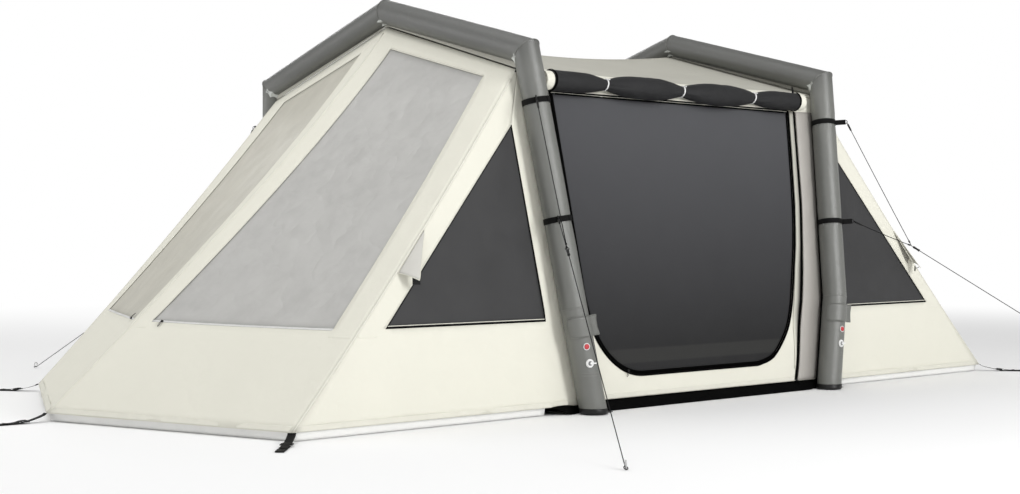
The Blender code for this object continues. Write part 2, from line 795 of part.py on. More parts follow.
def vent_frame(side, face):
    """The vent's hinge start and end on the side seam, and its lifted free corner."""
    top = mirrored(SKIN_EAVE, side, face)
    along = (mirrored(CORNER, side, face) - top).normalized()
    base = mirrored(SKIN_BASE, side, face)
    out = along.cross(base - top).normalized()
    out = -out if out.y * face < 0.0 else out
    across = out.cross(along).normalized()
    across = -across if across.x * side > 0.0 else across
    sag = Vector((-side * SIDE_SEAM_SAG, 0.0, 0.0))
    lift = sag + out * VENT_LIFT + across * VENT_LIFT
    hinge_top = top + along * VENT_TOP + lift
    hinge_bottom = top + along * VENT_BOTTOM + lift
    corner = hinge_bottom + (across * math.cos(VENT_OPEN) + out * math.sin(VENT_OPEN)) * VENT_WIDTH
    return hinge_top, hinge_bottom, corner


def make_vent_flap(face_label, face, label, side):
    hinge_top, hinge_bottom, corner = vent_frame(side, face)
    mid = hinge_bottom.lerp(hinge_top, 0.25)
    outline = [hinge_top, mid, hinge_bottom, corner]
    filled_panel(f"vent_flap_{face_label}_{label}", outline, "cream_polyester")


clear_scene()
TENT = new_collection("tunnel_tent")
MATERIALS = make_materials()

make_walls()
make_roof()
make_groundsheet()
make_door_roll()
for side_label, side_sign in SIDES.items():
    make_beam(side_label, side_sign)
    make_valves(side_label, side_sign)
    make_flap(side_label, side_sign)
    make_end_wall(side_label, side_sign)
    make_peg_strap(
        f"peg_strap_prow_{side_label}",
        mirrored(PROW, side_sign, 1.0),
        mirrored(PROW_STRAP_END, side_sign, 1.0),
    )
    for row_label, row_sign in FACES.items():
        make_side_panel(row_label, row_sign, side_label, side_sign)
        make_vent_flap(row_label, row_sign, side_label, side_sign)
        make_guy_line(row_label, row_sign, side_label, side_sign)
        make_peg_strap(
            f"peg_strap_{row_label}_{side_label}",
            mirrored(CORNER, side_sign, row_sign),
            mirrored(CORNER_STRAP_END, side_sign, row_sign),
        )
        for band in BAND_FRACTIONS:
            make_band(band, row_label, row_sign, side_label, side_sign)
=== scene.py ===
"""Looks of the inflatable tunnel tent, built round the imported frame."""
import math

import bpy
from mathutils import Matrix, Vector, noise


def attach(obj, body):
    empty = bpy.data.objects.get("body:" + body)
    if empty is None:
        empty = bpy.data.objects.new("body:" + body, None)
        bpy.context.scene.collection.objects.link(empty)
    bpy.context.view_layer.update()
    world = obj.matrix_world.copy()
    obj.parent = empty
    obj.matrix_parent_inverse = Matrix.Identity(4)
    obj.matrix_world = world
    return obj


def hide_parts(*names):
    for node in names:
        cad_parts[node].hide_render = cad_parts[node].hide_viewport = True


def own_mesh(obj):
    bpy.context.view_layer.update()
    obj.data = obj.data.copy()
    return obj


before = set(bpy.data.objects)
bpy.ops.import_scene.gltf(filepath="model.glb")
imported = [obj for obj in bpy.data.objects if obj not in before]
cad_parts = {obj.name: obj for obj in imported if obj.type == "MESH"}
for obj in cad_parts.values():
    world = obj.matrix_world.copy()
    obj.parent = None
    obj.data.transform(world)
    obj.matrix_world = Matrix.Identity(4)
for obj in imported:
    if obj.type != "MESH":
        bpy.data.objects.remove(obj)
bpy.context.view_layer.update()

# Driving dimensions of the tent, in metres, for the +X +Y quarter.
BEAM_RADIUS = 0.066
BEAM_SIDES = 44
BEND_REACH = 0.24
FOOT = Vector((0.900, 1.410, 0.000))
KNEE = Vector((1.000, 1.372, 0.513))
SHOULDER = Vector((1.125, 1.174, 1.750))
APEX = Vector((1.120, 0.000, 2.071))
HEM = 0.039
SKIN_APEX = Vector((1.115, 0.000, 1.996))
SKIN_EAVE = Vector((1.138, 1.113, 1.671))
SKIN_KNEE = Vector((1.000, 1.298, 0.510))
SKIN_BASE = Vector((0.908, 1.335, HEM))
CORNER = Vector((2.533, 1.320, HEM))
PROW = Vector((3.038, 0.000, HEM))
HIP_SAG = 0.080
END_SAG = 0.012
SIDE_SEAM_SAG = 0.031
RIDGE_SAG = 0.075
EAVE_SAG = 0.012
WALL_BOTTOM = 0.052
WALL_TOP = SKIN_EAVE.z - 0.006
TRAY_HEIGHT = 0.045

# Thicknesses of cloth, film and tape, and the zips.
CLOTH = 0.0009
FILM = 0.0006
TAPE = 0.0012
ZIP_TAPE = 0.0014
ZIP_COIL_RADIUS = 0.0028
ZIP_COIL_LIFT = 0.0058
ZIP_STEP = 0.022
SEAM_BELOW_WINDOW = 0.034
HEM_MIDDLE = HEM + 0.0135

# Window outlines: heights at hip and seam, and fractions across the end wall.
END_ROWS = (
    (HEM, HEM, 0.079, 0.890),
    (0.458, 0.451, 0.079, 0.890),
    (1.890, 1.592, 0.129, 0.827),
    (1.990, 1.665, 0.129, 0.827),
)
SIDE_ROWS = (
    (HEM, 1.113, 2.025),
    (0.450, 1.113, 2.025),
    (1.390, 1.205, 1.205),
    (1.651, 1.138, 1.138),
)

# The door's outline and the outer door's zip, as (x, z).
DOOR_TOP = 1.565
DOOR_BOTTOM = 0.165
DOOR_LEFT_TOP = -0.935
DOOR_LEFT_CURVE = -0.862
DOOR_LEFT_FOOT = -0.480
DOOR_CURVE_Z = 0.640
DOOR_CENTRE = (-0.03, 0.86)
DOOR_RIGHT = (
    (0.400, 0.165), (0.515, 0.196), (0.602, 0.274), (0.672, 0.380), (0.726, 0.570),
    (0.785, 0.800), (0.824, 1.030), (0.853, 1.340), (0.870, 1.565),
)
OUTER_ZIP = (
    (0.928, 1.568), (0.910, 1.340), (0.888, 1.060), (0.864, 0.890), (0.826, 0.670),
    (0.788, 0.500), (0.758, 0.358), (0.728, 0.162), (0.702, 0.056),
)

# Roll of the outer door: its axis as (y, z), its ends and its ties along the tent.
ROLL_RADIUS = 0.051
ROLL_CENTRE = (-1.182, 1.619)
ROLL_X = (-1.038, 0.929)
ROLL_PINCHES = (-0.609, -0.051, 0.517)
ROLL_PINCH_DEPTH = 0.026
ROLL_PINCH_HALF = 0.200
ROLL_FULLNESS = 0.007
ROLL_END = 0.050
ROLL_TURNS = 4.0
ROLL_CORE = 0.012

# Groundsheet tray outline for one quarter, and the sill under the door wall.
TRAY_END = (2.300, 0.950)
TRAY_NOTCH = (1.130, 1.050)
TRAY_BASE = (0.900, 1.316)
SILL_HALF = 1.105
SILL_TOP_Y = 1.328
SILL_FOOT_Y = 1.336

# Leg bands, guy lines and peg straps.
BAND_FRACTIONS = {"lower": 0.339, "upper": 0.801}
BAND_HEIGHT = 0.028
BAND_OUTER = 0.0694
BAND_TAB = 0.060
RING = Vector((1.308, 1.667, 0.800))
PEG = Vector((1.972, 2.719, 0.006))
CORD = 0.004
CORNER_STRAP_END = Vector((2.725, 1.535, 0.003))
PROW_STRAP_END = Vector((3.290, 0.000, 0.003))
RUNNER_FROM_RING = 0.032

# Valves, flaps and vents.
VALVE_TURN = math.radians(-10.5)
VALVE_SPREAD = math.radians(7.5)
INFLATION_HEIGHT = 0.250
RELIEF_HEIGHT = 0.330
FLAP_BOTTOM = 0.372
FLAP_HEIGHT = 0.098
FLAP_RADIUS = 0.0705
FLAP_ANGLES = (-83.0, 45.0)
FLAP_TAIL = 0.045
VENT_TOP = 1.036
VENT_BOTTOM = 1.288
VENT_WIDTH = 0.122
VENT_CLOTH = 0.108
VENT_OPEN = math.radians(50.0)
VENT_LIFT = 0.006
VENT_STRUT_OUT = 0.048
VENT_STRUT_ACROSS = 0.074
VENT_MESH_SHARE = 0.84

# The signs of X and Y in each quarter of the tent.
SIDES = {"left": -1.0, "right": 1.0}
FACES = {"near": -1.0, "far": 1.0}
UP = Vector((0.0, 0.0, 1.0))

# The camera, matched to the photo.
CAMERA_PLACE = Vector((-5.790, -6.611, 0.865))
CAMERA_YAW = 0.8729
CAMERA_PITCH = -0.0086
CAMERA_LENS = 52.32

# The studio: the floor turns white between two distances, and soft box lights stand round it.
FLOOR_COLOUR = (0.93, 0.93, 0.93)
FLOOR_FADE = (4.5, 11.0)
WORLD_LIGHT = 0.46
LIGHT_TARGET = Vector((0.0, 0.0, 0.9))
LIGHTS = (
    ("key", (0.4, -9.0, 3.9), (2.0, 4.6), 415.0),
    ("fill", (-7.0, -5.5, 6.0), (5.0, 4.0), 108.0),
    ("rim", (-8.0, 5.5, 3.5), (2.4, 4.0), 140.0),
    ("top", (-3.0, 0.5, 8.0), (6.0, 6.0), 180.0),
    ("back", (4.0, 9.0, 4.5), (6.0, 4.0), 220.0),
)


# ---------------------------------------------------------------- helpers

def mirrored(point, side, face):
    return Vector((side * point[0], face * point[1], point[2]))


def mix(low, high, t):
    return low + (high - low) * t


def spread(low, high, count):
    """Numbers from low to high in a count of equal steps."""
    return [mix(low, high, i / count) for i in range(count + 1)]


def turn(steps):
    """The angles of one full turn."""
    return [math.tau * k / steps for k in range(steps)]


def smooth(t):
    t = min(1.0, max(0.0, t))
    return t * t * (3.0 - 2.0 * t)


def frame_at(origin, z_axis, x_hint):
    z = Vector(z_axis).normalized()
    y = z.cross(Vector(x_hint)).normalized()
    x = y.cross(z)
    return Matrix.Translation(origin) @ Matrix((x, y, z)).transposed().to_4x4()


def add_mesh(name, points, faces, look, uvs=None):
    mesh = bpy.data.meshes.new(name)
    mesh.from_pydata([tuple(p) for p in points], [], faces)
    if uvs is not None:
        layer = mesh.uv_layers.new(name="UVMap")
        for loop in mesh.loops:
            layer.data[loop.index].uv = uvs[loop.vertex_index]
    mesh.materials.append(LOOKS[look])
    mesh.shade_smooth()
    item = bpy.data.objects.new(name, mesh)
    bpy.context.scene.collection.objects.link(item)
    return item


def placed(item, replaces=(), body="tent"):
    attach(item, body)
    if replaces:
        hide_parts(*replaces)
    return item


def grid_mesh(name, grid, look, skip=None, closed=False, thickness=0.0, flat=False, cap=False):
    """A smooth sheet through a grid of points. UVs are metres along it, or X and Z if flat."""
    rows, columns = len(grid), len(grid[0])
    points, uvs, faces = [], [], []
    down = 0.0
    for r, row in enumerate(grid):
        if r:
            down += (Vector(row[columns // 2]) - Vector(grid[r - 1][columns // 2])).length
        across = 0.0
        for c, point in enumerate(row):
            if c:
                across += (Vector(point) - Vector(row[c - 1])).length
            points.append(point)
            uvs.append((point[0], point[2]) if flat else (across, down))
    wide = columns if closed else columns - 1
    for r in range(rows - 1):
        for c in range(wide):
            if skip and skip(r, c):
                continue
            after = (c + 1) % columns
            faces.append((
                r * columns + c, r * columns + after,
                (r + 1) * columns + after, (r + 1) * columns + c,
            ))
    if cap:
        faces.append(tuple((rows - 1) * columns + c for c in range(columns)))
    used = sorted({i for face in faces for i in face})
    place = {old: new for new, old in enumerate(used)}
    item = add_mesh(
        name, [points[i] for i in used], [tuple(place[i] for i in face) for face in faces],
        look, [uvs[i] for i in used],
    )
    if thickness:
        shell = item.modifiers.new("Thickness", "SOLIDIFY")
        shell.thickness = thickness
        shell.offset = 0.0
    return item


def tube(name, path, radius, look, closed=False, resolution=3):
    """A round cord, wire or piping along a path."""
    curve = bpy.data.curves.new(name, "CURVE")
    curve.dimensions = "3D"
    curve.bevel_depth = radius
    curve.bevel_resolution = resolution
    curve.use_fill_caps = not closed
    spline = curve.splines.new("POLY")
    spline.points.add(len(path) - 1)
    spline.use_cyclic_u = closed
    for spot, point in zip(spline.points, path):
        spot.co = (*point, 1.0)
    spline.use_smooth = True
    curve.materials.append(LOOKS[look])
    item = bpy.data.objects.new(name, curve)
    bpy.context.scene.collection.objects.link(item)
    return item


def resampled(path, step):
    """Evenly spaced points along a path, keeping its ends."""
    path = [Vector(p) for p in path]
    lengths = [0.0]
    for here, after in zip(path, path[1:]):
        lengths.append(lengths[-1] + (after - here).length)
    count = max(2, int(round(lengths[-1] / step)) + 1)
    points, k = [], 0
    for i in range(count):
        s = lengths[-1] * i / (count - 1)
        while k < len(path) - 2 and lengths[k + 1] < s:
            k += 1
        span = lengths[k + 1] - lengths[k]
        points.append(path[k].lerp(path[k + 1], (s - lengths[k]) / span if span else 0.0))
    return points


def curved(path, step):
    """Points on a smooth Catmull-Rom curve through a path."""
    path = [Vector(p) for p in path]
    padded = [path[0] * 2 - path[1]] + path + [path[-1] * 2 - path[-2]]
    fine = []
    for a, b, c, d in zip(padded, padded[1:], padded[2:], padded[3:]):
        for i in range(12):
            t = i / 12
            fine.append(0.5 * (
                b * 2 + (c - a) * t + (a * 2 - b * 5 + c * 4 - d) * t * t
                + (b * 3 - a - c * 3 + d) * t ** 3
            ))
    fine.append(path[-1])
    return resampled(fine, step)


def ribbon(name, path, normals, width, look, thickness=TAPE, lift=0.0, bulge=0.0):
    """A strip of tape along a path, lying across the given surface normals."""
    path = [Vector(p) for p in path]
    grid = []
    for i, point in enumerate(path):
        along = (path[min(i + 1, len(path) - 1)] - path[max(i - 1, 0)]).normalized()
        normal = Vector(normals[i] if isinstance(normals, list) else normals).normalized()
        across = along.cross(normal).normalized() * width / 2.0
        row = []
        for k in range(5):
            t = k / 2.0 - 1.0
            row.append(point + across * t + normal * (lift + bulge * (1.0 - t * t)))
        grid.append(row)
    return grid_mesh(name, grid, look, thickness=thickness)


def lathe(name, profile, look, place, steps=32, closed=False):
    """A turned piece: a (radius, height) profile round local Z, closed on itself round a bore."""
    points, faces = [], []
    for radius, height in profile:
        points += [(radius * math.cos(a), radius * math.sin(a), height) for a in turn(steps)]
    count = len(profile)
    for i in range(count if closed else count - 1):
        after_ring = (i + 1) % count
        for k in range(steps):
            after = (k + 1) % steps
            faces.append((
                i * steps + k, i * steps + after, after_ring * steps + after, after_ring * steps + k
            ))
    if not closed:
        faces.append(tuple(range(steps - 1, -1, -1)))
        faces.append(tuple((count - 1) * steps + k for k in range(steps)))
    item = add_mesh(name, points, faces, look)
    item.data.set_sharp_from_angle(angle=math.radians(40))
    item.matrix_world = place
    return item


def block(name, size, look, place, bevel):
    """A box with rounded edges."""
    x, y, z = (s / 2.0 for s in size)
    points = [(sx * x, sy * y, sz * z) for sx in (-1, 1) for sy in (-1, 1) for sz in (-1, 1)]
    faces = [(0, 1, 3, 2), (4, 6, 7, 5), (0, 4, 5, 1), (2, 3, 7, 6), (0, 2, 6, 4), (1, 5, 7, 3)]
    item = add_mesh(name, points, faces, look)
    rounded = item.modifiers.new("Edges", "BEVEL")
    rounded.width = bevel
    rounded.segments = 3
    item.data.set_sharp_from_angle(angle=math.radians(60))
    item.matrix_world = place
    return item


def joined(name, items):
    """Several finished meshes as one piece."""
    bpy.context.view_layer.update()
    points, faces, uvs, slots, materials = [], [], [], [], []
    for item in items:
        shown = item.evaluated_get(bpy.context.evaluated_depsgraph_get())
        mesh = bpy.data.meshes.new_from_object(shown)
        base = len(points)
        points += [item.matrix_world @ v.co for v in mesh.vertices]
        layer = mesh.uv_layers.active
        for polygon in mesh.polygons:
            faces.append(tuple(base + v for v in polygon.vertices))
            uvs.append([tuple(layer.data[k].uv) if layer else (0, 0) for k in polygon.loop_indices])
            material = mesh.materials[polygon.material_index]
            if material not in materials:
                materials.append(material)
            slots.append((materials.index(material), polygon.use_smooth))
        bpy.data.meshes.remove(mesh)
    mesh = bpy.data.meshes.new(name)
    mesh.from_pydata([tuple(p) for p in points], [], faces)
    for material in materials:
        mesh.materials.append(material)
    layer = mesh.uv_layers.new(name="UVMap")
    for polygon, (index, is_smooth), face_uvs in zip(mesh.polygons, slots, uvs):
        polygon.material_index = index
        polygon.use_smooth = is_smooth
        for k, uv in zip(polygon.loop_indices, face_uvs):
            layer.data[k].uv = uv
    mesh.set_sharp_from_angle(angle=math.radians(50))
    for item in items:
        bpy.data.objects.remove(item, do_unlink=True)
    result = bpy.data.objects.new(name, mesh)
    bpy.context.scene.collection.objects.link(result)
    return result


# ---------------------------------------------------------------- materials

class Look:
    """A Principled material with procedural detail added step by step."""

    def __init__(self, name, colour, roughness, **values):
        self.material = bpy.data.materials.new(name)
        self.material.use_nodes = True
        self.nodes = self.material.node_tree.nodes
        self.links = self.material.node_tree.links
        self.shader = self.nodes["Principled BSDF"]
        self.colour = colour
        self.shader.inputs["Base Color"].default_value = (*colour, 1.0)
        self.shader.inputs["Roughness"].default_value = roughness
        for key, value in values.items():
            self.shader.inputs[key.replace("_", " ")].default_value = value
        self.heights = []

    def add(self, kind, inputs=(), **settings):
        node = self.nodes.new(kind)
        for key, value in settings.items():
            setattr(node, key, value)
        for key, value in dict(inputs).items():
            if isinstance(value, bpy.types.NodeSocket):
                self.links.new(value, node.inputs[key])
            else:
                node.inputs[key].default_value = value
        return node

    def coords(self, kind="Object", scale=(1.0, 1.0, 1.0)):
        where = self.add("ShaderNodeTexCoord")
        scaled = self.add("ShaderNodeMapping", {"Vector": where.outputs[kind], "Scale": scale})
        return scaled.outputs["Vector"]

    def noise(self, scale, detail, stretch=(1.0, 1.0, 1.0)):
        node = self.add("ShaderNodeTexNoise", {
            "Vector": self.coords("Object", stretch), "Scale": scale, "Detail": detail,
            "Roughness": 0.55,
        })
        return node.outputs["Fac"]

    def math(self, operation, a, b=0.5):
        return self.add("ShaderNodeMath", {0: a, 1: b}, operation=operation).outputs[0]

    def ramp(self, value, low, high):
        node = self.add("ShaderNodeMapRange", {
            "Value": value, "From Min": low, "From Max": high, "To Min": 0.0, "To Max": 1.0,
        })
        node.clamp = True
        return node.outputs["Result"]

    def tint(self, mask, colour):
        """Shift the base colour towards another one where the mask is high."""
        base = self.shader.inputs["Base Color"]
        node = self.add("ShaderNodeMix", {"Factor": mask}, data_type="RGBA")
        if base.is_linked:
            self.links.new(base.links[0].from_socket, node.inputs[6])
        else:
            node.inputs[6].default_value = (*self.colour, 1.0)
        node.inputs[7].default_value = (*colour, 1.0)
        self.links.new(node.outputs[2], base)
        return self

    def upward(self, low, high, colour):
        """Pass on to another colour between two heights."""
        split = self.add("ShaderNodeSeparateXYZ", {"Vector": self.coords()})
        return self.tint(self.ramp(split.outputs["Z"], low, high), colour)

    def level_band(self, low, high, colour):
        """Another colour between two heights, with soft edges."""
        split = self.add("ShaderNodeSeparateXYZ", {"Vector": self.coords()})
        height = split.outputs["Z"]
        above = self.ramp(height, low, low + 0.01)
        below = self.ramp(height, high + 0.01, high)
        inside = self.math("MULTIPLY", above, below)
        return self.tint(inside, colour)

    def across(self, low, high, colour):
        """Pass on to another colour over a piece's width, in metres."""
        split = self.add("ShaderNodeSeparateXYZ", {"Vector": self.coords("UV")})
        return self.tint(self.ramp(split.outputs["X"], low, high), colour)

    def mottle(self, scale=3.0, amount=0.06, stretch=(1.0, 1.0, 1.0)):
        """Soft uneven shade over the cloth."""
        mask = self.ramp(self.noise(scale, 4.0, stretch=stretch), 0.35, 0.75)
        return self.tint(mask, [c * (1.0 - amount) for c in self.colour])

    def vary_roughness(self, low, high, scale=12.0):
        node = self.add("ShaderNodeMapRange", {
            "Value": self.noise(scale, 3.0), "To Min": low, "To Max": high,
        })
        self.links.new(node.outputs["Result"], self.shader.inputs["Roughness"])
        return self

    def height(self, value, amount):
        """Add relief of an amount in metres."""
        self.heights.append(self.math("MULTIPLY", value, amount))
        return self

    def weave(self, pitch=0.0016, amount=0.00012):
        """Plain weave: two sets of threads that cross, over the piece's own UVs."""
        for direction in ("X", "Y"):
            node = self.add("ShaderNodeTexWave", {
                "Vector": self.coords("UV"), "Scale": 1.0 / pitch / 3.1416, "Distortion": 0.0,
            }, wave_type="BANDS", bands_direction=direction)
            self.height(node.outputs["Fac"], amount)
        return self

    def creases(self, scale=4.0, amount=0.0015, stretch=(1.0, 1.0, 1.0)):
        """Soft creases that cloth keeps after it was packed."""
        ridge = self.math("ABSOLUTE", self.math("SUBTRACT", self.noise(scale, 2.0, stretch=stretch)))
        return self.height(self.ramp(ridge, 0.0, 0.10), amount)

    def done(self):
        """Turn the collected relief into a bump, and return the material."""
        if self.heights:
            total = self.heights[0]
            for more in self.heights[1:]:
                total = self.math("ADD", total, more)
            bump = self.add("ShaderNodeBump", {
                "Height": total, "Distance": 1.0, "Strength": 1.0,
            })
            self.links.new(bump.outputs["Normal"], self.shader.inputs["Normal"])
        return self.material


def make_looks():
    """Every material of the tent, by a short name."""
    return {
        "cream": Look("cream_polyester", (0.775, 0.762, 0.668), 0.74, Specular_IOR_Level=0.30)
        .mottle(1.6, 0.035).mottle(9.0, 0.02).vary_roughness(0.66, 0.82)
        .weave().creases(3.5, 0.0010).creases(9.0, 0.0005).done(),
        "skirt": Look("skirt_cloth", (0.90, 0.90, 0.88), 0.80, Specular_IOR_Level=0.20)
        .mottle(6.0, 0.04).weave().creases(9.0, 0.0008).done(),
        # The hood's cloth is greyer than the cream skin it hangs from: painted shade under the hood.
        "vent": Look("vent_cloth", (0.600, 0.590, 0.548), 0.76, Specular_IOR_Level=0.20)
        .mottle(9.0, 0.05).weave().creases(9.0, 0.0006).done(),
        # The strip between the outer zip and the leg is greyer than the cream wall and darkens across
        # towards the leg: painted shade of the leg.
        "strip": Look("zip_strip_cloth", (0.455, 0.432, 0.402), 0.74, Specular_IOR_Level=0.20)
        .mottle(5.0, 0.06).across(0.020, 0.130, (0.240, 0.228, 0.210)).weave()
        .creases(6.0, 0.0014, (2.0, 1.0, 0.6)).done(),
        # The fly darkens across towards the outer zip: painted shade on its right side.
        "fly": Look("zip_fly_cloth", (0.700, 0.688, 0.604), 0.74, Specular_IOR_Level=0.20)
        .across(0.004, 0.030, (0.100, 0.098, 0.088)).weave().creases(6.0, 0.0010).done(),
        "roof": Look("roof_polyester", (0.475, 0.466, 0.410), 0.72, Specular_IOR_Level=0.25)
        .mottle(2.0, 0.07).vary_roughness(0.62, 0.82).weave().creases(3.0, 0.0010).done(),
        "piping": Look("seam_tape", (0.74, 0.728, 0.640), 0.66, Specular_IOR_Level=0.30)
        .mottle(20.0, 0.05).weave(0.0022, 0.00020).done(),
        "film": Look("window_blind", (0.50, 0.495, 0.475), 0.46, Specular_IOR_Level=0.40)
        .mottle(2.6, 0.17).mottle(6.0, 0.17).mottle(14.0, 0.05).vary_roughness(0.32, 0.56, 8.0)
        .weave(0.0025, 0.00006).creases(2.6, 0.0020).creases(6.0, 0.0013).done(),
        # The far blinds have their own copy of the blind material, lighter, yellower and smoother than
        # the near one, set to how they look in their light: painted light.
        "film_far": Look("window_blind_far_painted_light", (0.545, 0.528, 0.458), 0.52, Specular_IOR_Level=0.35)
        .mottle(4.0, 0.10).vary_roughness(0.38, 0.62, 8.0)
        .weave(0.0025, 0.00006).creases(4.0, 0.0010).done(),
        "tinted": Look("tinted_film", (0.046, 0.046, 0.047), 0.58, Specular_IOR_Level=0.22)
        .mottle(4.0, 0.14).vary_roughness(0.46, 0.66, 7.0)
        .weave(0.0020, 0.00010).creases(4.0, 0.0006).done(),
        # The mesh turns lighter towards its top and has a faint lighter band near its foot: painted
        # light from the inside of the tent seen through the mesh.
        "mesh": Look("mesh_cloth", (0.022, 0.022, 0.0228), 0.72, Specular_IOR_Level=0.18)
        .mottle(2.0, 0.10).level_band(0.215, 0.285, (0.032, 0.032, 0.031))
        .upward(0.30, 1.50, (0.080, 0.081, 0.087))
        .vary_roughness(0.62, 0.80, 6.0).weave(0.0022, 0.00025).done(),
        "vent_mesh": Look("vent_mesh", (0.400, 0.392, 0.350), 0.72, Specular_IOR_Level=0.18)
        .mottle(20.0, 0.15).weave(0.0022, 0.00025).done(),
        "dark": Look("dark_polyester", (0.0155, 0.0155, 0.0165), 0.60, Specular_IOR_Level=0.28)
        .mottle(10.0, 0.25).vary_roughness(0.50, 0.70, 14.0)
        .weave(0.0018, 0.00015).creases(16.0, 0.0012, (0.4, 1.0, 1.0)).done(),
        "ground": Look("groundsheet", (0.0018, 0.0018, 0.0018), 0.80, Specular_IOR_Level=0.04)
        .mottle(8.0, 0.3).vary_roughness(0.70, 0.90, 10.0)
        .weave(0.0030, 0.00010).creases(10.0, 0.0012).done(),
        # The sleeve's colour turns darker above the shoulders, on the arch's upper runs: painted shade.
        "sleeve": Look("beam_sleeve", (0.146, 0.149, 0.137), 0.36, Specular_IOR_Level=0.75)
        .mottle(7.0, 0.08).upward(1.66, 1.80, (0.092, 0.094, 0.087)).vary_roughness(0.32, 0.41, 12.0)
        .weave(0.0015, 0.00008).creases(9.0, 0.0005).done(),
        "bladder": Look("bladder_film", (0.55, 0.57, 0.55), 0.25, Coat_Weight=0.3)
        .mottle(20.0, 0.06).creases(18.0, 0.0006).done(),
        "webbing": Look("black_webbing", (0.0030, 0.0030, 0.0030), 0.58, Specular_IOR_Level=0.14)
        .mottle(60.0, 0.3).weave(0.0028, 0.0004).done(),
        "sleeve_seam": Look("sleeve_seam_thread", (0.225, 0.228, 0.212), 0.50, Specular_IOR_Level=0.40)
        .mottle(60.0, 0.15).weave(0.0030, 0.0004).done(),
        "white_zip": Look("white_zip_tape", (0.80, 0.80, 0.78), 0.50)
        .mottle(60.0, 0.05).weave(0.0036, 0.0008).done(),
        "zip": Look("zip_tape", (0.0012, 0.0012, 0.0012), 0.80, Specular_IOR_Level=0.03)
        .mottle(60.0, 0.3).weave(0.0030, 0.0003).done(),
        "teeth": Look("zip_coil", (0.0016, 0.0016, 0.0016), 0.70, Specular_IOR_Level=0.05)
        .weave(0.0040, 0.0012).mottle(90.0, 0.2).done(),
        "cord": Look("guy_cord", (0.0050, 0.0050, 0.0055), 0.70, Specular_IOR_Level=0.20)
        .mottle(300.0, 0.35).creases(400.0, 0.0006).done(),
        "white": Look("white_plastic", (0.80, 0.80, 0.79), 0.32, Coat_Weight=0.15)
        .mottle(40.0, 0.03).vary_roughness(0.26, 0.40, 60.0).done(),
        "grey": Look("grey_plastic_recess_shade", (0.16, 0.16, 0.165), 0.45)
        .mottle(60.0, 0.10).vary_roughness(0.36, 0.52, 60.0).done(),
        "red": Look("red_plastic", (0.50, 0.030, 0.040), 0.30, Coat_Weight=0.3)
        .mottle(60.0, 0.08).vary_roughness(0.22, 0.36, 80.0).done(),
        "black": Look("black_plastic", (0.0060, 0.0060, 0.0060), 0.42, Specular_IOR_Level=0.35)
        .mottle(60.0, 0.2).vary_roughness(0.34, 0.52, 60.0).done(),
        "steel": Look("peg_steel", (0.62, 0.62, 0.62), 0.28, Metallic=1.0)
        .mottle(120.0, 0.15).vary_roughness(0.20, 0.40, 90.0).done(),
    }


# ---------------------------------------------------------------- the tent's surfaces

def hip_point(height):
    """The seam over the middle of an end, from the arch down to the prow."""
    s = (SKIN_APEX.z - height) / (SKIN_APEX.z - HEM)
    x = mix(SKIN_APEX.x, PROW.x, s)
    sag = HIP_SAG * math.sin(math.pi * s ** 0.8) if 0.0 < s < 1.0 else 0.0
    return Vector((x - sag, 0.0, height))


def side_seam_point(height):
    """The seam between end wall and side panel, from the eave down to the corner."""
    s = (SKIN_EAVE.z - height) / (SKIN_EAVE.z - HEM)
    point = SKIN_EAVE.lerp(CORNER, s)
    point.x -= SIDE_SEAM_SAG * 4.0 * s * (1.0 - s)
    return point


def leg_line_point(height):
    """The line behind a leg, where side panel and wall meet."""
    if height < SKIN_KNEE.z:
        return SKIN_BASE.lerp(SKIN_KNEE, (height - HEM) / (SKIN_KNEE.z - HEM))
    return SKIN_KNEE.lerp(SKIN_EAVE, (height - SKIN_KNEE.z) / (SKIN_EAVE.z - SKIN_KNEE.z))


def end_normal(side, face):
    """The way an end wall's half faces."""
    normal = (PROW - SKIN_APEX).cross(SKIN_EAVE - SKIN_APEX).normalized()
    normal = -normal if normal.x < 0.0 else normal
    return mirrored(normal, side, face)


def side_normal(side, face):
    normal = (SKIN_EAVE - SKIN_BASE).cross(CORNER - SKIN_BASE).normalized()
    normal = -normal if normal.y < 0.0 else normal
    return mirrored(normal, side, face)


def wall_normal(height, face=-1.0):
    low, high = (SKIN_BASE, SKIN_KNEE) if height < SKIN_KNEE.z else (SKIN_KNEE, SKIN_EAVE)
    lean = (low.y - high.y) / (high.z - low.z)
    return Vector((0.0, face, lean)).normalized()


def side_panel_point(x, height, side, face):
    leg = leg_line_point(height)
    seam = side_seam_point(height)
    return mirrored(leg.lerp(seam, (x - leg.x) / (seam.x - leg.x)), side, face)


def end_point(across, row, side):
    """A point of an end's skin; beyond the seam, at 1 or -1, it runs on over the side panel."""
    face = -1.0 if across < 0.0 else 1.0
    hip, seam = hip_point(row[0]), side_seam_point(row[1])
    if abs(across) > 1.0:
        beyond = (abs(across) - 1.0) * (seam - hip).length
        return side_panel_point(seam.x - beyond, row[1], side, face)
    f = abs(across)
    v = (row[0] - HEM) / (SKIN_APEX.z - HEM)
    sag = END_SAG * 4.0 * f * (1.0 - f) * math.sin(math.pi * min(1.0, max(0.0, v)))
    return mirrored(hip.lerp(seam, f), side, face) - end_normal(side, face) * sag


def row_span(row):
    return (side_seam_point(row[1]) - hip_point(row[0])).length


def wall_point(x, height, face=-1.0):
    return Vector((x, face * leg_line_point(height).y, height))


def roof_point(across, along):
    edge = SKIN_APEX.lerp(SKIN_EAVE, abs(across))
    sag = mix(RIDGE_SAG, EAVE_SAG, abs(across))
    y = math.copysign(edge.y, across)
    return Vector((along * (edge.x - 0.004), y, edge.z - sag * (1.0 - along * along)))


def between(rows, counts):
    """Rows filled in between key rows, and which stretch each one starts in."""
    fine, part = [], []
    for k, (low, high, count) in enumerate(zip(rows, rows[1:], counts)):
        for i in range(count):
            fine.append(tuple(mix(a, b, i / count) for a, b in zip(low, high)))
            part.append(k)
    fine.append(tuple(rows[-1]))
    return fine, part


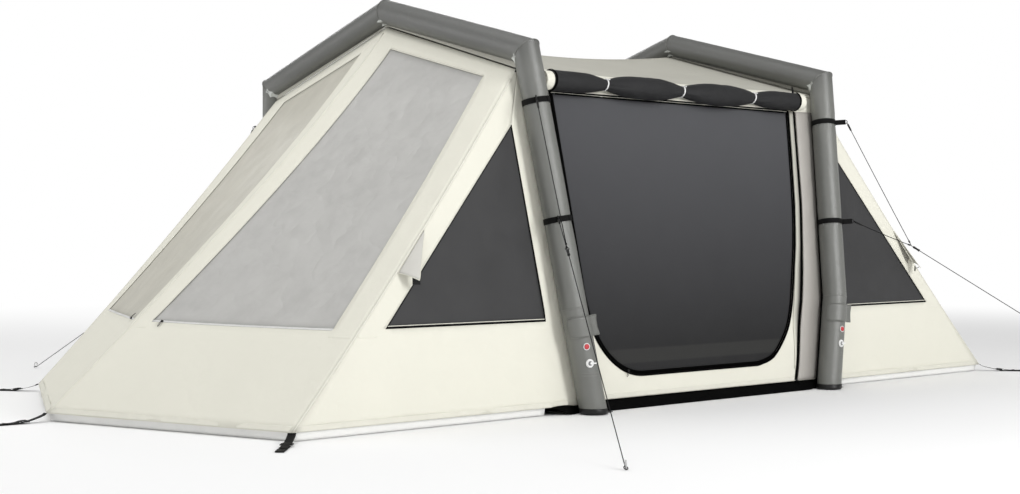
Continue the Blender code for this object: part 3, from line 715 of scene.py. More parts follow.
def relief(grid, outward, height):
    """Move each point of a grid along the sheet's normal by height(row, column, point)."""
    rows, columns = len(grid), len(grid[0])
    moved = []
    for r, row in enumerate(grid):
        line = []
        for c, point in enumerate(row):
            down = grid[min(r + 1, rows - 1)][c] - grid[max(r - 1, 0)][c]
            along = row[min(c + 1, columns - 1)] - row[max(c - 1, 0)]
            normal = along.cross(down)
            normal = normal.normalized() if normal.length > 1e-9 else outward
            normal = -normal if normal.dot(outward) < 0.0 else normal
            line.append(point + normal * height(r, c, point))
        moved.append(line)
    return moved


def soft(point, size, seed=0.0):
    """Smooth noise between about -1 and 1."""
    return noise.fractal(Vector(point) / size + Vector((seed, 1.7 * seed, -seed)), 1.0, 2.0, 3)


def fan(point, corner, count, reach):
    """Creases that fan out from a corner under tension."""
    away = point - corner
    distance = away.length
    if distance > reach:
        return 0.0
    angle = math.atan2(away.z, math.hypot(away.x, away.y))
    fade = (1.0 - distance / reach) ** 2 * smooth(distance / (0.2 * reach))
    return fade * math.sin(count * angle)


def strip(name, grid, outward, look, lift):
    """A tape sewn on the skin: a narrow grid, crowned a little across its width."""
    last = len(grid[0]) - 1
    crown = [lift * (0.45 + 0.55 * math.sin(math.pi * c / last)) for c in range(last + 1)]
    raised = relief(grid, outward, lambda r, c, p: crown[c])
    return placed(grid_mesh(name, raised, look, thickness=TAPE))


def end_tape(name, rows, centre, side, width, look, lift):
    """Tape that runs up an end's skin, centred where centre(row) says."""
    grid = []
    for row in rows:
        step = width / 6.0 / row_span(row)
        grid.append([end_point(centre(row) + step * k, row, side) for k in range(-3, 4)])
    face = -1.0 if centre(rows[len(rows) // 2]) < 0.0 else 1.0
    outward = end_normal(side, face)
    if abs(centre(rows[0])) < 0.01:
        outward = Vector((side, 0.0, 1.0)).normalized()
    return strip(name, grid, outward, look, lift)


def end_cross_tape(name, row, low, high, side, width, look, lift):
    """Tape that runs level across an end's skin, between two places across it."""
    grid = []
    for across in spread(low, high, 40):
        line = []
        for k in range(-3, 4):
            shift = width / 6.0 * k
            line.append(end_point(across, (row[0] + shift, row[1] + shift), side))
        grid.append(line)
    return strip(name, grid, end_normal(side, math.copysign(1.0, low + high)), look, lift)


def panel(name, grid, look, replaces, skip=None, thickness=CLOTH):
    """A stretched cloth panel: its grid, its material slot and the CAD solid it replaces."""
    item = grid_mesh(name, grid, look, skip=skip, thickness=thickness)
    placed(item, [replaces])
    grid_area(grid, skip)
    return item


def tape(name, path, normals, width, look, *profile, slot="black_webbing", body="tent"):
    """A ribbon that is sewn on: profile is its thickness, lift and bulge."""
    return placed(ribbon(name, path, normals, width, look, *profile), body=body)


def grid_area(grid, skip=None):
    total = 0.0
    for r in range(len(grid) - 1):
        for c in range(len(grid[0]) - 1):
            if skip and skip(r, c):
                continue
            a, b = Vector(grid[r][c]), Vector(grid[r][c + 1])
            d, e = Vector(grid[r + 1][c]), Vector(grid[r + 1][c + 1])
            total += ((b - a).cross(d - a)).length / 2.0 + ((e - b).cross(e - d)).length / 2.0
    return total


# ---------------------------------------------------------------- ends and side panels

def make_end(label, side):
    """An end wall in one curved sheet, with both its blinds, their zips and the hip seam."""
    rows, row_part = between(END_ROWS, (10, 40, 3))
    counts = (5, 28, 5, 5, 28, 5)
    grid, column_part = [], []
    for row in rows:
        inner, outer = row[2], row[3]
        keys = [(-1.0,), (-outer,), (-inner,), (0.0,), (inner,), (outer,), (1.0,)]
        fine, column_part = between(keys, counts)
        grid.append([end_point(u[0], row, side) for u in fine])
    middle = sum(counts) // 2

    def window(r, c):
        return row_part[r] == 1 and column_part[c] in (1, 4)

    corner_near = mirrored(CORNER, side, -1.0)
    corner_far = mirrored(CORNER, side, 1.0)
    prow = mirrored(PROW, side, 1.0)

    def height(r, c, point):
        up = min(r, 10) / 10.0
        if r > 10:
            return 0.0
        off_seam = min(1.0, abs(c - middle) / 6.0, (middle - abs(c - middle)) / 6.0)
        fade = smooth(off_seam) * math.sin(math.pi * min(1.0, 0.12 + 0.88 * up))
        pulls = fan(point, corner_near, 22, 0.75) + fan(point, corner_far, 22, 0.75)
        pulls += fan(point, prow, 26, 0.8)
        return fade * (0.006 * soft(point, 0.30, side) + 0.005 * pulls)

    # One normal for each half: the grid is displaced in two parts that meet at the hip.
    near = relief([row[:middle + 1] for row in grid], end_normal(side, -1.0), height)
    far = relief(
        [row[middle:] for row in grid], end_normal(side, 1.0),
        lambda r, c, p: height(r, c + middle, p),
    )
    grid = [a[:-1] + b for a, b in zip(near, far)]
    wall = panel(
        f"end_wall_cloth_{label}", grid, "cream", f"end_wall_{label}",
        window,
    )
    wall.data.set_sharp_from_angle(angle=math.radians(35))

    hip_rows = rows[:-1]
    end_tape(f"hip_seam_{label}", hip_rows, lambda row: 0.0, side, 0.016, "piping", 0.0014)
    for face_label, face in FACES.items():
        make_blind(face_label, face, label, side, rows, row_part)
        name = f"{face_label}_{label}"
        end_tape(
            f"side_seam_{name}", rows[:-2], lambda row: face * 0.9999, side,
            0.013, "piping", 0.0012,
        )
        end_cross_tape(
            f"end_hem_{name}", (HEM_MIDDLE, HEM_MIDDLE), face * 0.012, face * 0.985, side,
            0.022, "piping", 0.0010,
        )
        level = (END_ROWS[1][0] - SEAM_BELOW_WINDOW, END_ROWS[1][1] - SEAM_BELOW_WINDOW)
        for part, low, high in (("hip", 0.02, 0.079), ("corner", 0.892, 0.985)):
            end_cross_tape(
                f"level_seam_{part}_{name}", level, face * low, face * high, side,
                0.007, "cream", 0.0006,
            )


def make_blind(face_label, face, label, side, rows, row_part):
    """The closed blind behind a window, its piping, and the zip along its lower edge."""
    name = f"{face_label}_{label}"
    outward = end_normal(side, face)
    start = row_part.index(1)
    end = row_part.index(2)
    window_rows = rows[start:end + 1]
    count, lip = 36, 0.010
    grid = []
    for i, row in enumerate(window_rows):
        edge = lip if i == len(window_rows) - 1 else (-lip if i == 0 else 0.0)
        shifted = (row[0] + edge, row[1] + edge)
        reach = lip / row_span(row)
        across = spread(row[2] - reach, row[3] + reach, count)
        grid.append([end_point(face * f, shifted, side) for f in across])

    last = len(window_rows) - 1

    def height(r, c, point):
        rim = min(r, last - r, 8) / 8.0 * min(c, count - c, 6) / 6.0
        waves = soft(Vector((point.x * 0.7, point.y, point.z * 1.5)), 0.16, 3.0 * side + face)
        slack = 0.6 * soft(Vector((point.x, point.y * 0.6, point.z)), 0.42, 5.0)
        return -0.0028 + smooth(rim) * (0.0052 * waves + 0.006 * slack)

    grid = relief(grid, outward, height)
    # The far blinds take the copy of the blind material that carries painted light.
    look = "film" if face < 0.0 else "film_far"
    panel(
        f"window_blind_{name}", grid, look, f"end_window_{name}",
        thickness=FILM,
    )

    for edge_label, k in (("inner", 2), ("outer", 3)):
        out = -0.5 if k == 2 else 0.5
        end_tape(
            f"window_piping_{edge_label}_{name}", window_rows,
            lambda row: face * (row[k] + out * 0.007 / row_span(row)), side,
            0.006, "piping", 0.0009,
        )
    top, bottom = window_rows[-1], window_rows[0]
    end_cross_tape(
        f"window_piping_top_{name}", (top[0] + 0.004, top[1] + 0.004),
        face * top[2], face * top[3], side, 0.006, "piping", 0.0009,
    )
    end_cross_tape(
        f"window_zip_{name}", (bottom[0] - 0.004, bottom[1] - 0.004),
        face * bottom[2], face * bottom[3], side, 0.008, "white_zip", 0.0014,
    )
    spot = end_point(face * (bottom[2] + 0.05), (bottom[0] - 0.006, bottom[1] - 0.006), side)
    pull = frame_at(spot + outward * 0.006, outward, Vector((0.0, face, 0.0)))
    make_zip_pull(f"window_zip_pull_{name}", pull)


def make_zip_pull(name, place):
    """A zip slider with its cord pull hanging from it."""
    slider = block(f"{name}_slider", (0.012, 0.010, 0.005), "black", place, 0.0015)
    arch = [(0.0, 0.004 * math.cos(a), 0.003 + 0.004 * math.sin(a)) for a in spread(0.0, math.pi, 8)]
    bail = tube(f"{name}_bail", [place @ Vector(p) for p in arch], 0.0009, "black")
    loop = [(0.0, 0.0, 0.004), (0.004, -0.010, 0.003), (0.004, -0.026, 0.001), (0.0, -0.034, 0.0),
            (-0.004, -0.026, 0.001), (-0.004, -0.010, 0.003), (0.0, 0.0, 0.004)]
    cord = tube(f"{name}_cord", [place @ Vector(p) for p in loop], 0.0013, "black")
    placed(joined(name, [slider, bail, cord]))


def side_tape(name, heights, x_at, side, face, width, look, lift):
    """Tape that runs up a side panel."""
    grid = []
    for height in heights:
        xs = [x_at(height) + width / 6.0 * k for k in range(-3, 4)]
        grid.append([side_panel_point(x, height, side, face) for x in xs])
    return strip(name, grid, side_normal(side, face), look, lift)


def make_side(face_label, face, label, side):
    """The cloth between a leg and the end, with its dark triangular window."""
    name = f"{face_label}_{label}"
    outward = side_normal(side, face)
    rows, row_part = between(SIDE_ROWS, (10, 34, 6))
    grid, column_part = [], []
    for height, inner, outer in rows:
        leg_x = leg_line_point(height).x
        seam_x = side_seam_point(height).x
        inner, outer = max(inner, leg_x + 0.001), min(outer, seam_x - 0.001)
        fine, column_part = between([(leg_x,), (inner,), (outer,), (seam_x,)], (7, 26, 8))
        grid.append([side_panel_point(x[0], height, side, face) for x in fine])

    def window(r, c):
        return row_part[r] > 0 and column_part[c] == 1

    corner = mirrored(CORNER, side, face)
    base = mirrored(SKIN_BASE, side, face)

    def height_at(r, c, point):
        by_leg = max(0.0, 1.0 - c / 7.0)
        waves = soft(Vector((point.x * 3.0, 0.0, point.z * 0.6)), 0.12, 2.0)
        folds = 0.006 * by_leg * (1.0 - by_leg) * 4.0 * waves
        if r > 10:
            return folds
        up = math.sin(math.pi * min(1.0, 0.10 + 0.09 * r))
        ends = smooth(min(c, 41 - c) / 6.0)
        pulls = fan(point, corner, 24, 0.8) + fan(point, base, 20, 0.5)
        return folds + ends * up * (0.006 * soft(point, 0.28, 7.0 * side) + 0.005 * pulls)

    panel(
        f"side_cloth_{name}", relief(grid, outward, height_at), "cream",
        f"side_panel_{name}", window,
    )
    window_rows = [row for row, part in zip(rows, row_part) if part == 1] + [rows[44]]
    make_side_film(name, window_rows, side, face)
    make_side_tapes(name, window_rows, side, face)


def make_side_film(name, window_rows, side, face):
    """The dark film behind a side window, a little larger than its opening."""
    grid, lip, count = [], 0.008, 26
    for i, (height, inner, outer) in enumerate(window_rows):
        height -= lip if i == 0 else 0.0
        xs = spread(inner - lip, outer + lip, count)
        grid.append([side_panel_point(x, height, side, face) for x in xs])
    last = len(window_rows) - 1

    def height_at(r, c, point):
        rim = smooth(min(r, last - r, 6) / 6.0 * min(c, count - c, 5) / 5.0)
        return -0.0026 + 0.003 * soft(point, 0.35, 4.0) * rim

    panel(
        f"side_film_{name}", relief(grid, side_normal(side, face), height_at), "tinted",
        f"side_window_{name}", thickness=FILM,
    )


def make_side_tapes(name, window_rows, side, face):
    """The piping round a side window, and the side panel's hem and level seam."""
    heights = [row[0] for row in window_rows]
    bottom, low_x, high_x = SIDE_ROWS[1]
    top, top_x = SIDE_ROWS[2][:2]

    def slant(height, start):
        return mix(start, top_x, (height - bottom) / (top - bottom))

    for part, foot_x, shift, width, look, lift, slot in (
        ("edge_outer", high_x, -0.002, 0.005, "zip", 0.0010, "black_webbing"),
        ("hem_outer", high_x, 0.009, 0.010, "piping", 0.0009, "cream_polyester"),
        ("edge_inner", low_x, 0.002, 0.006, "zip", 0.0012, "black_webbing"),
    ):
        side_tape(
            f"film_{part}_{name}", heights, lambda h: slant(h, foot_x) + shift, side, face,
            width, look, lift,
        )

    outward = side_normal(side, face)
    for part, centre, width, look, lift, slot in (
        ("edge", bottom + 0.001, 0.006, "zip", 0.0012, "black_webbing"),
        ("band", bottom + 0.010, 0.003, "piping", 0.0010, "cream_polyester"),
    ):
        wide = []
        for t in spread(0.0, 1.0, 40):
            line = []
            for k in range(-2, 3):
                height = centre + width / 4.0 * k
                x = mix(slant(height, low_x), slant(height, high_x), t)
                line.append(side_panel_point(x, height, side, face))
            wide.append(line)
        strip(f"film_{part}_lower_{name}", wide, outward, look, lift)

    seam_z = bottom - SEAM_BELOW_WINDOW
    for part, middle, step, low, high, count, look, lift in (
        ("hem", HEM_MIDDLE, 0.0043, leg_line_point(HEM).x + 0.01, side_seam_point(HEM).x - 0.02,
         40, "piping", 0.0010),
        ("level_seam", seam_z, 0.0012, high_x + 0.05, side_seam_point(seam_z).x - 0.02,
         24, "cream", 0.0006),
    ):
        grid = []
        for x in spread(low, high, count):
            grid.append([side_panel_point(x, middle + step * k, side, face) for k in range(-3, 4)])
        strip(f"side_{part}_{name}", grid, outward, look, lift)


# ---------------------------------------------------------------- walls, door and roof

def door_left(inset=0.0, steps=22):
    """The left side of the door's D shape, from its top corner to the middle of its foot."""
    top = [(DOOR_LEFT_TOP + inset, DOOR_TOP - inset), (DOOR_LEFT_CURVE + inset, DOOR_CURVE_Z)]
    points = [(p.x, p.z) for p in resampled([Vector((x, 0.0, z)) for x, z in top], 0.030)][:-1]
    for i in range(steps + 1):
        angle = math.pi / 2.0 * i / steps
        x = DOOR_LEFT_FOOT + (DOOR_LEFT_CURVE + inset - DOOR_LEFT_FOOT) * math.cos(angle)
        z = DOOR_CURVE_Z + (DOOR_BOTTOM + inset - DOOR_CURVE_Z) * math.sin(angle)
        points.append((x, z))
    return points


def door_right(inset=0.0):
    """Its right side, which bows out in the middle, from the top corner down."""
    line = curved([Vector((x, 0.0, z)) for x, z in DOOR_RIGHT[::-1]], 0.030)
    points = []
    for before, point, after in zip(line[:1] + line, line, line[1:] + line[-1:]):
        way = (after - before).normalized()
        points.append((point.x + way.z * inset, point.z - way.x * inset))
    points[0] = (points[0][0], DOOR_TOP - inset)
    points[-1] = (points[-1][0], DOOR_BOTTOM + inset)
    return points


def door_ring(inset=0.0):
    """The D shape as a closed loop of (x, z), from the top left corner down and round."""
    left, right = door_left(inset), door_right(inset)
    edges = []
    for start, end in ((left[-1], right[-1]), (right[0], left[0])):
        line = resampled([Vector((x, 0, z)) for x, z in (start, end)], 0.030)
        edges.append([(p.x, p.z) for p in line[1:-1]])
    return left + edges[0] + right[::-1] + edges[1]


def wall_edge_hit(centre, point):
    """Where a ray from the door's centre through a point meets the wall's outline."""
    half = [(leg_line_point(z).x, z) for z in (WALL_BOTTOM, SKIN_KNEE.z, WALL_TOP)]
    loop = [(-x, z) for x, z in half] + half[::-1]
    dx, dz = point[0] - centre[0], point[1] - centre[1]
    best = None
    for (ax, az), (bx, bz) in zip(loop, loop[1:] + loop[:1]):
        ex, ez = bx - ax, bz - az
        cross = dx * ez - dz * ex
        if abs(cross) < 1e-12:
            continue
        t = ((ax - centre[0]) * ez - (az - centre[1]) * ex) / cross
        u = ((ax - centre[0]) * dz - (az - centre[1]) * dx) / cross
        if t > 0.0 and -1e-9 <= u <= 1.0 + 1e-9 and (best is None or t < best):
            best = t
    return centre[0] + dx * best, centre[1] + dz * best


def make_door_wall():
    """The cloth round the door: rings that pass from the D shape to the wall's own outline."""
    ring = door_ring()
    outer = [wall_edge_hit(DOOR_CENTRE, point) for point in ring]
    for corner in [(s * leg_line_point(z).x, z) for s in (-1, 1) for z in (WALL_BOTTOM, WALL_TOP)]:
        nearest = min(range(len(outer)), key=lambda i: math.dist(outer[i], corner))
        outer[nearest] = corner
    grid = []
    for t in spread(0.0, 1.0, 14):
        line = []
        for (ax, az), (bx, bz) in zip(ring, outer):
            x, z = mix(ax, bx, t), mix(az, bz, t)
            fade = math.sin(math.pi * t)
            out = 0.004 * soft((x * 2.2, 0.0, z * 0.7), 0.16, 11.0)
            line.append(wall_point(x, z) + wall_normal(z) * out * fade)
        grid.append(line)
    wall = grid_mesh("door_wall_cloth", grid, "cream", closed=True, thickness=CLOTH, flat=True)
    placed(wall, ["door_wall"])
    grid_area([row + row[:1] for row in grid])


def make_zip(name, line, width):
    """A zip on the door wall: its tape and the coil along the middle."""
    normals = [wall_normal(p.z) for p in line]
    tape(f"{name}_tape", line, normals, width, "zip", ZIP_TAPE, 0.0026, 0.001)
    coil = [p + n * ZIP_COIL_LIFT for p, n in zip(line, normals)]
    placed(tube(f"{name}_coil", coil, ZIP_COIL_RADIUS, "teeth"))


def make_zips():
    """The mesh door's zip, the outer door's zip, and the cloth on both sides of the outer zip."""
    path = door_left(-0.006) + door_right(-0.006)[::-1]
    make_zip("door_zip", resampled([wall_point(x, z) for x, z in path], ZIP_STEP), 0.015)
    outer_line = curved([wall_point(x, z) for x, z in OUTER_ZIP], ZIP_STEP)
    make_zip("outer_zip", outer_line, 0.021)

    # The rounded fly between the two zips, narrower and flatter at its foot.
    fly = []
    for point in outer_line:
        if point.z < 0.10:
            break
        full = smooth((point.z - 0.12) / 0.35)
        end = point.x - 0.012
        start = max(door_edge_x(point.z) + 0.015, end - mix(0.010, 0.048, full))
        swell = 0.014 * full
        n = wall_normal(point.z)
        fly.append([
            wall_point(mix(start, end, t), point.z) + n * (0.003 + swell * math.sin(math.pi * t))
            for t in spread(0.0, 1.0, 8)
        ])
    placed(grid_mesh("zip_fly", fly, "fly", thickness=0.0010))

    # The loose strip between the outer zip and the leg.
    side_strip = []
    for point in outer_line:
        n = wall_normal(point.z)
        low_x, high_x = point.x + 0.012, leg_line_point(point.z).x - 0.034
        line = []
        for t in spread(0.0, 1.0, 8):
            x = mix(low_x, high_x, t)
            fold = abs(soft((x * 3.0, 0.0, point.z), 0.16, 9.0)) * math.sin(math.pi * t)
            line.append(wall_point(x, point.z) + n * (0.0068 + 0.006 * fold))
        side_strip.append(line)
    placed(grid_mesh("zip_side_strip", side_strip, "strip", thickness=0.0010))

    foot = [p for p in outer_line if p.z < 0.075]
    for name, spot, lift, height, hint in (
        ("outer_zip_pull", foot[0], 0.008, 0.06, (0.5, 0.0, 1.0)),
        ("door_zip_pull", wall_point(-0.590, 0.185), 0.009, 0.2, (0.8, 0.0, -0.35)),
    ):
        normal = wall_normal(height)
        make_zip_pull(name, frame_at(spot + normal * lift, normal, Vector(hint)))


def make_wall_edges():
    """Tape along the door wall's foot, and the tracks and webs that hold the skin to its beams; the
    black tracks also paint the shade in the gap between skin and leg.
    """
    z = WALL_BOTTOM + 0.013
    reach = leg_line_point(z).x - 0.012
    line = [wall_point(x, z) for x in spread(-reach, reach, 60)]
    tape("wall_hem", line, wall_normal(z), 0.024, "piping", TAPE, 0.0012, 0.0004, slot="cream_polyester")
    for label, side in SIDES.items():
        for face_label, face in FACES.items():
            line = []
            for z in spread(WALL_BOTTOM, SKIN_EAVE.z - 0.03, 59):
                point = leg_line_point(z)
                line.append(Vector((side * (point.x - 0.028), face * (point.y + 0.004), z)))
            # A black track by each leg: a keder track that also paints the shade in the gap between skin
            # and leg.
            placed(tube(f"leg_track_{face_label}_{label}", line, 0.0070, "zip"))
            make_beam_webs(f"{face_label}_{label}", side, face)


def make_beam_webs(name, side, face):
    """The cloth that joins the skin to its beam: grey behind the leg, roof cloth over the arch."""
    leg, arch = [], []
    for t in spread(0.0, 1.0, 30)[:-1]:
        leg.append((SKIN_BASE.lerp(SKIN_KNEE, t), FOOT.lerp(KNEE, mix(0.10, 1.0, t))))
    for t in spread(0.0, 1.0, 50):
        leg.append((SKIN_KNEE.lerp(SKIN_EAVE, t), KNEE.lerp(SHOULDER, t)))
        arch.append((SKIN_EAVE.lerp(SKIN_APEX, t), SHOULDER.lerp(APEX, t)))
    for part, pairs, look, slot in (
        ("leg", leg, "sleeve", "beam_sleeve"), ("arch", arch, "roof", "roof_polyester"),
    ):
        grid = []
        for skin, beam in pairs:
            back = beam + (skin - beam).normalized() * (BEAM_RADIUS - 0.006)
            grid.append([mirrored(skin.lerp(back, k / 3), side, face) for k in range(4)])
        placed(grid_mesh(f"{part}_web_{name}", grid, look, thickness=TAPE))


def door_edge_x(z):
    """The right edge of the door at a height."""
    for (low_x, low_z), (high_x, high_z) in zip(DOOR_RIGHT, DOOR_RIGHT[1:]):
        if z <= high_z:
            return mix(low_x, high_x, (z - low_z) / (high_z - low_z))
    return DOOR_RIGHT[-1][0]


def make_mesh_door():
    """The mesh in its D shape and its binding."""
    ring = door_ring(0.004)
    steps = 22
    grid = []
    for k in range(steps + 1):
        t = 1.0 - (k / steps) ** 1.15 * 0.985
        line = []
        for x, z in ring:
            px, pz = mix(DOOR_CENTRE[0], x, t), mix(DOOR_CENTRE[1], z, t)
            rim = smooth((1.0 - t) / 0.12)
            out = rim * (0.0035 * soft((px, 0.0, pz), 0.45, 21.0) - 0.004)
            line.append(wall_point(px, pz) + wall_normal(pz) * out)
        grid.append(line)
    door = grid_mesh("mesh_door_cloth", grid, "mesh", closed=True, thickness=0.0005, flat=True, cap=True)
    body = "mesh_door_panel"
    placed(door, ["mesh_door"], body)
    grid_area([row + row[:1] for row in grid])

    path = door_left(0.008) + door_right(0.008)[::-1]
    line = resampled([wall_point(x, z) for x, z in path], ZIP_STEP)
    normals = [wall_normal(p.z) for p in line]
    tape("mesh_binding", line, normals, 0.009, "zip", TAPE, 0.0022, 0.0012, body=body)
    ends = (DOOR_LEFT_TOP + 0.03, DOOR_RIGHT[-1][0] - 0.03)
    top = resampled([wall_point(x, DOOR_TOP - 0.006) for x in ends], 0.04)
    tape("mesh_header", top, wall_normal(1.5), 0.007, "zip", TAPE, 0.002, body=body)


def make_rear_wall():
    """The plain wall on the hidden side, with a level seam, a hem and two upright seams."""
    rows, columns = 46, 60
    grid = []
    for z in spread(WALL_BOTTOM, WALL_TOP, rows):
        reach = leg_line_point(z).x
        grid.append([wall_point(x, z, 1.0) for x in spread(-reach, reach, columns)])

    def height(r, c, point):
        rim = smooth(min(r, rows - r, 8) / 8.0 * min(c, columns - c, 8) / 8.0)
        sag = -0.012 * math.sin(math.pi * r / rows) * math.sin(math.pi * c / columns)
        return rim * (0.008 * soft((point.x, 0.0, point.z * 1.4), 0.38, 13.0)) + sag

    grid = relief(grid, Vector((0.0, 1.0, 0.1)), height)
    panel("rear_wall_cloth", grid, "cream", "rear_wall")
    slot = "cream_polyester"
    for name, row in (("rear_level_seam", grid[12]), ("rear_hem", grid[0])):
        line = [p + UP * 0.013 for p in row[1:-1]]
        normal = wall_normal(row[0].z + 0.01, 1.0)
        tape(name, line, normal, 0.022, "piping", TAPE, 0.0030, 0.0008, slot=slot)
    for label, c in (("left", 20), ("right", 40)):
        line = [grid[r][c] for r in range(2, rows - 1)]
        normals = [wall_normal(p.z, 1.0) for p in line]
        name = f"rear_upright_seam_{label}"
        tape(name, line, normals, 0.016, "piping", TAPE, 0.0022, 0.0006, slot=slot)


def make_roof():
    """The saddle between the arches, its ridge tape, its eave strips and the edge piping."""
    rows, columns = 44, 48
    grid = []
    for across in spread(-1.0, 1.0, rows):
        grid.append([roof_point(across, along) for along in spread(-1.0, 1.0, columns)])

    def height(r, c, point):
        rim = smooth(min(r, rows - r, 5) / 5.0 * min(c, columns - c, 6) / 6.0)
        ridge = smooth(abs(r - rows / 2) / 5.0)
        pull = 0.0
        for side in SIDES.values():
            corner = mirrored(SKIN_EAVE, side, math.copysign(1.0, point.y))
            pull += fan(point, corner, 14, 0.7)
        return rim * ridge * (0.007 * soft(point, 0.40, 17.0) + 0.004 * pull)

    grid = relief(grid, UP, height)
    roof = panel("roof_cloth", grid, "roof", "roof_panel")
    roof.data.set_sharp_from_angle(angle=math.radians(30))

    for face_label, face in FACES.items():
        wide = []
        for along in spread(-0.985, 0.985, 60):
            wide.append([roof_point(face * across, along) for across in spread(0.925, 0.998, 8)])
        strip(
            f"eave_strip_{face_label}", wide, Vector((0.0, 0.2 * face, 1.0)), "cream", 0.0030,
        )
        drop = Vector((0.0, 0.003 * face, -0.006))
        line = [roof_point(face * 0.999, along) + drop for along in spread(-0.975, 0.975, 60)]
        placed(tube(f"eave_piping_{face_label}", line, 0.0045, "piping"))
    ridge = []
    for along in spread(-0.97, 0.97, 60):
        ridge.append([roof_point(0.0035 * k + 1e-6, along) for k in range(-3, 4)])
    strip("ridge_seam", ridge, UP, "roof", 0.0024)


def make_skirts():
    """The cloth edge that hangs from the hem to the ground, set back from it, beside the legs."""
    corners = [PROW, CORNER, CORNER.lerp(SKIN_BASE, 0.86)]
    line = resampled([Vector((p.x, p.y, 0.0)) for p in corners], 0.04)
    for label, side in SIDES.items():
        for face_label, face in FACES.items():
            grid = []
            for p in line:
                inward = Vector((p.x - 0.9, p.y, 0.0)).normalized()
                foot = p - inward * 0.026
                top = p - inward * 0.012
                row = []
                for t in spread(0.0, 1.0, 4):
                    point = (mix(top.x, foot.x, t), mix(top.y, foot.y, t), mix(0.050, 0.0012, t))
                    row.append(mirrored(point, side, face))
                grid.append(row)
            item = grid_mesh(f"skirt_{face_label}_{label}", grid, "skirt", thickness=CLOTH)
            placed(item)


def make_ground():
    """The tray: its turned-up edge and its floor in one sheet."""
    quarter = [Vector((*corner, 0.0)) for corner in (TRAY_END, TRAY_NOTCH, TRAY_BASE)]
    path = quarter + [mirrored(p, -1.0, 1.0) for p in quarter[::-1]]
    path += [mirrored(p, -1.0, -1.0) for p in quarter] + [mirrored(p, 1.0, -1.0) for p in quarter[::-1]]
    ring = resampled(path + path[:1], 0.06)[:-1]
    floor_z = 0.0022
    grid = []
    for lift, shrink in ((TRAY_HEIGHT, 0.002), (0.022, 0.004), (0.006, 0.010), (floor_z, 0.020)):
        grid.append([p + (-p).normalized() * shrink + UP * lift for p in ring])
    for t in (0.12, 0.25, 0.40, 0.55, 0.70, 0.85, 0.97):
        line = []
        for p in ring:
            point = p * (1.0 - t)
            line.append(point + UP * (floor_z + 0.003 * abs(soft(point, 0.5, 2.0))))
        grid.append(line)
    tray = grid_mesh("tray_cloth", grid, "ground", closed=True, thickness=TAPE, cap=True)
    placed(tray, ["groundsheet"])
    grid_area([row + row[:1] for row in grid])


def make_sill():
    """The groundsheet's edge under the door wall, down to the ground between the legs."""
    sill = []
    for x in spread(-SILL_HALF, SILL_HALF, 80):
        ends = smooth((SILL_HALF - abs(x)) / 0.10)
        by_leg = smooth((abs(abs(x) - FOOT.x) - 0.03) / 0.10)
        y_low = SILL_FOOT_Y + (0.008 + 0.030 * by_leg) * ends
        low = 0.0015 + 0.034 * (1.0 - ends)
        line = []
        for t in spread(0.0, 1.0, 6):
            bow = 0.004 * math.sin(math.pi * t) * ends
            line.append(Vector((x, -mix(SILL_TOP_Y, y_low, t) - bow, mix(0.050, low, t))))
        sill.append(line)
    placed(grid_mesh("door_sill", sill, "ground", thickness=0.0015))


# ---------------------------------------------------------------- air beams

def mitred_tube(path, radius, sides, step, swell):
    """Rings of a tube whose straight runs meet at mitres, with swell(point, out) on the radius."""
    rings, mitres = [], []
    ways = [(b - a).normalized() for a, b in zip(path, path[1:])]
    u = ways[0].cross(Vector((1.0, 0.0, 0.0))).normalized()
    for i, way in enumerate(ways):
        if i:
            u = ways[i - 1].rotation_difference(way) @ u
        v = way.cross(u)
        outs = [u * math.cos(a) + v * math.sin(a) for a in turn(sides)]
        ends = []
        for j, node in ((i, path[i]), (i + 1, path[i + 1])):
            plane = (ways[max(j - 1, 0)] + ways[min(j, len(ways) - 1)]).normalized()
            if j in (0, len(path) - 1):
                plane = UP
            ends.append([
                node + o * radius - way * ((o * radius).dot(plane) / way.dot(plane)) for o in outs
            ])
        count = max(3, int((path[i + 1] - path[i]).length / step))
        for n in range(min(i, 1), count + 1):
            ring = []
            for k in range(sides):
                point = ends[0][k].lerp(ends[1][k], n / count)
                ring.append(point + outs[k] * swell(point, outs[k]))
            rings.append(ring)
        if i < len(ways) - 1:
            mitres.append([p + o * 0.0006 for p, o in zip(ends[1], outs)])
    return rings, mitres


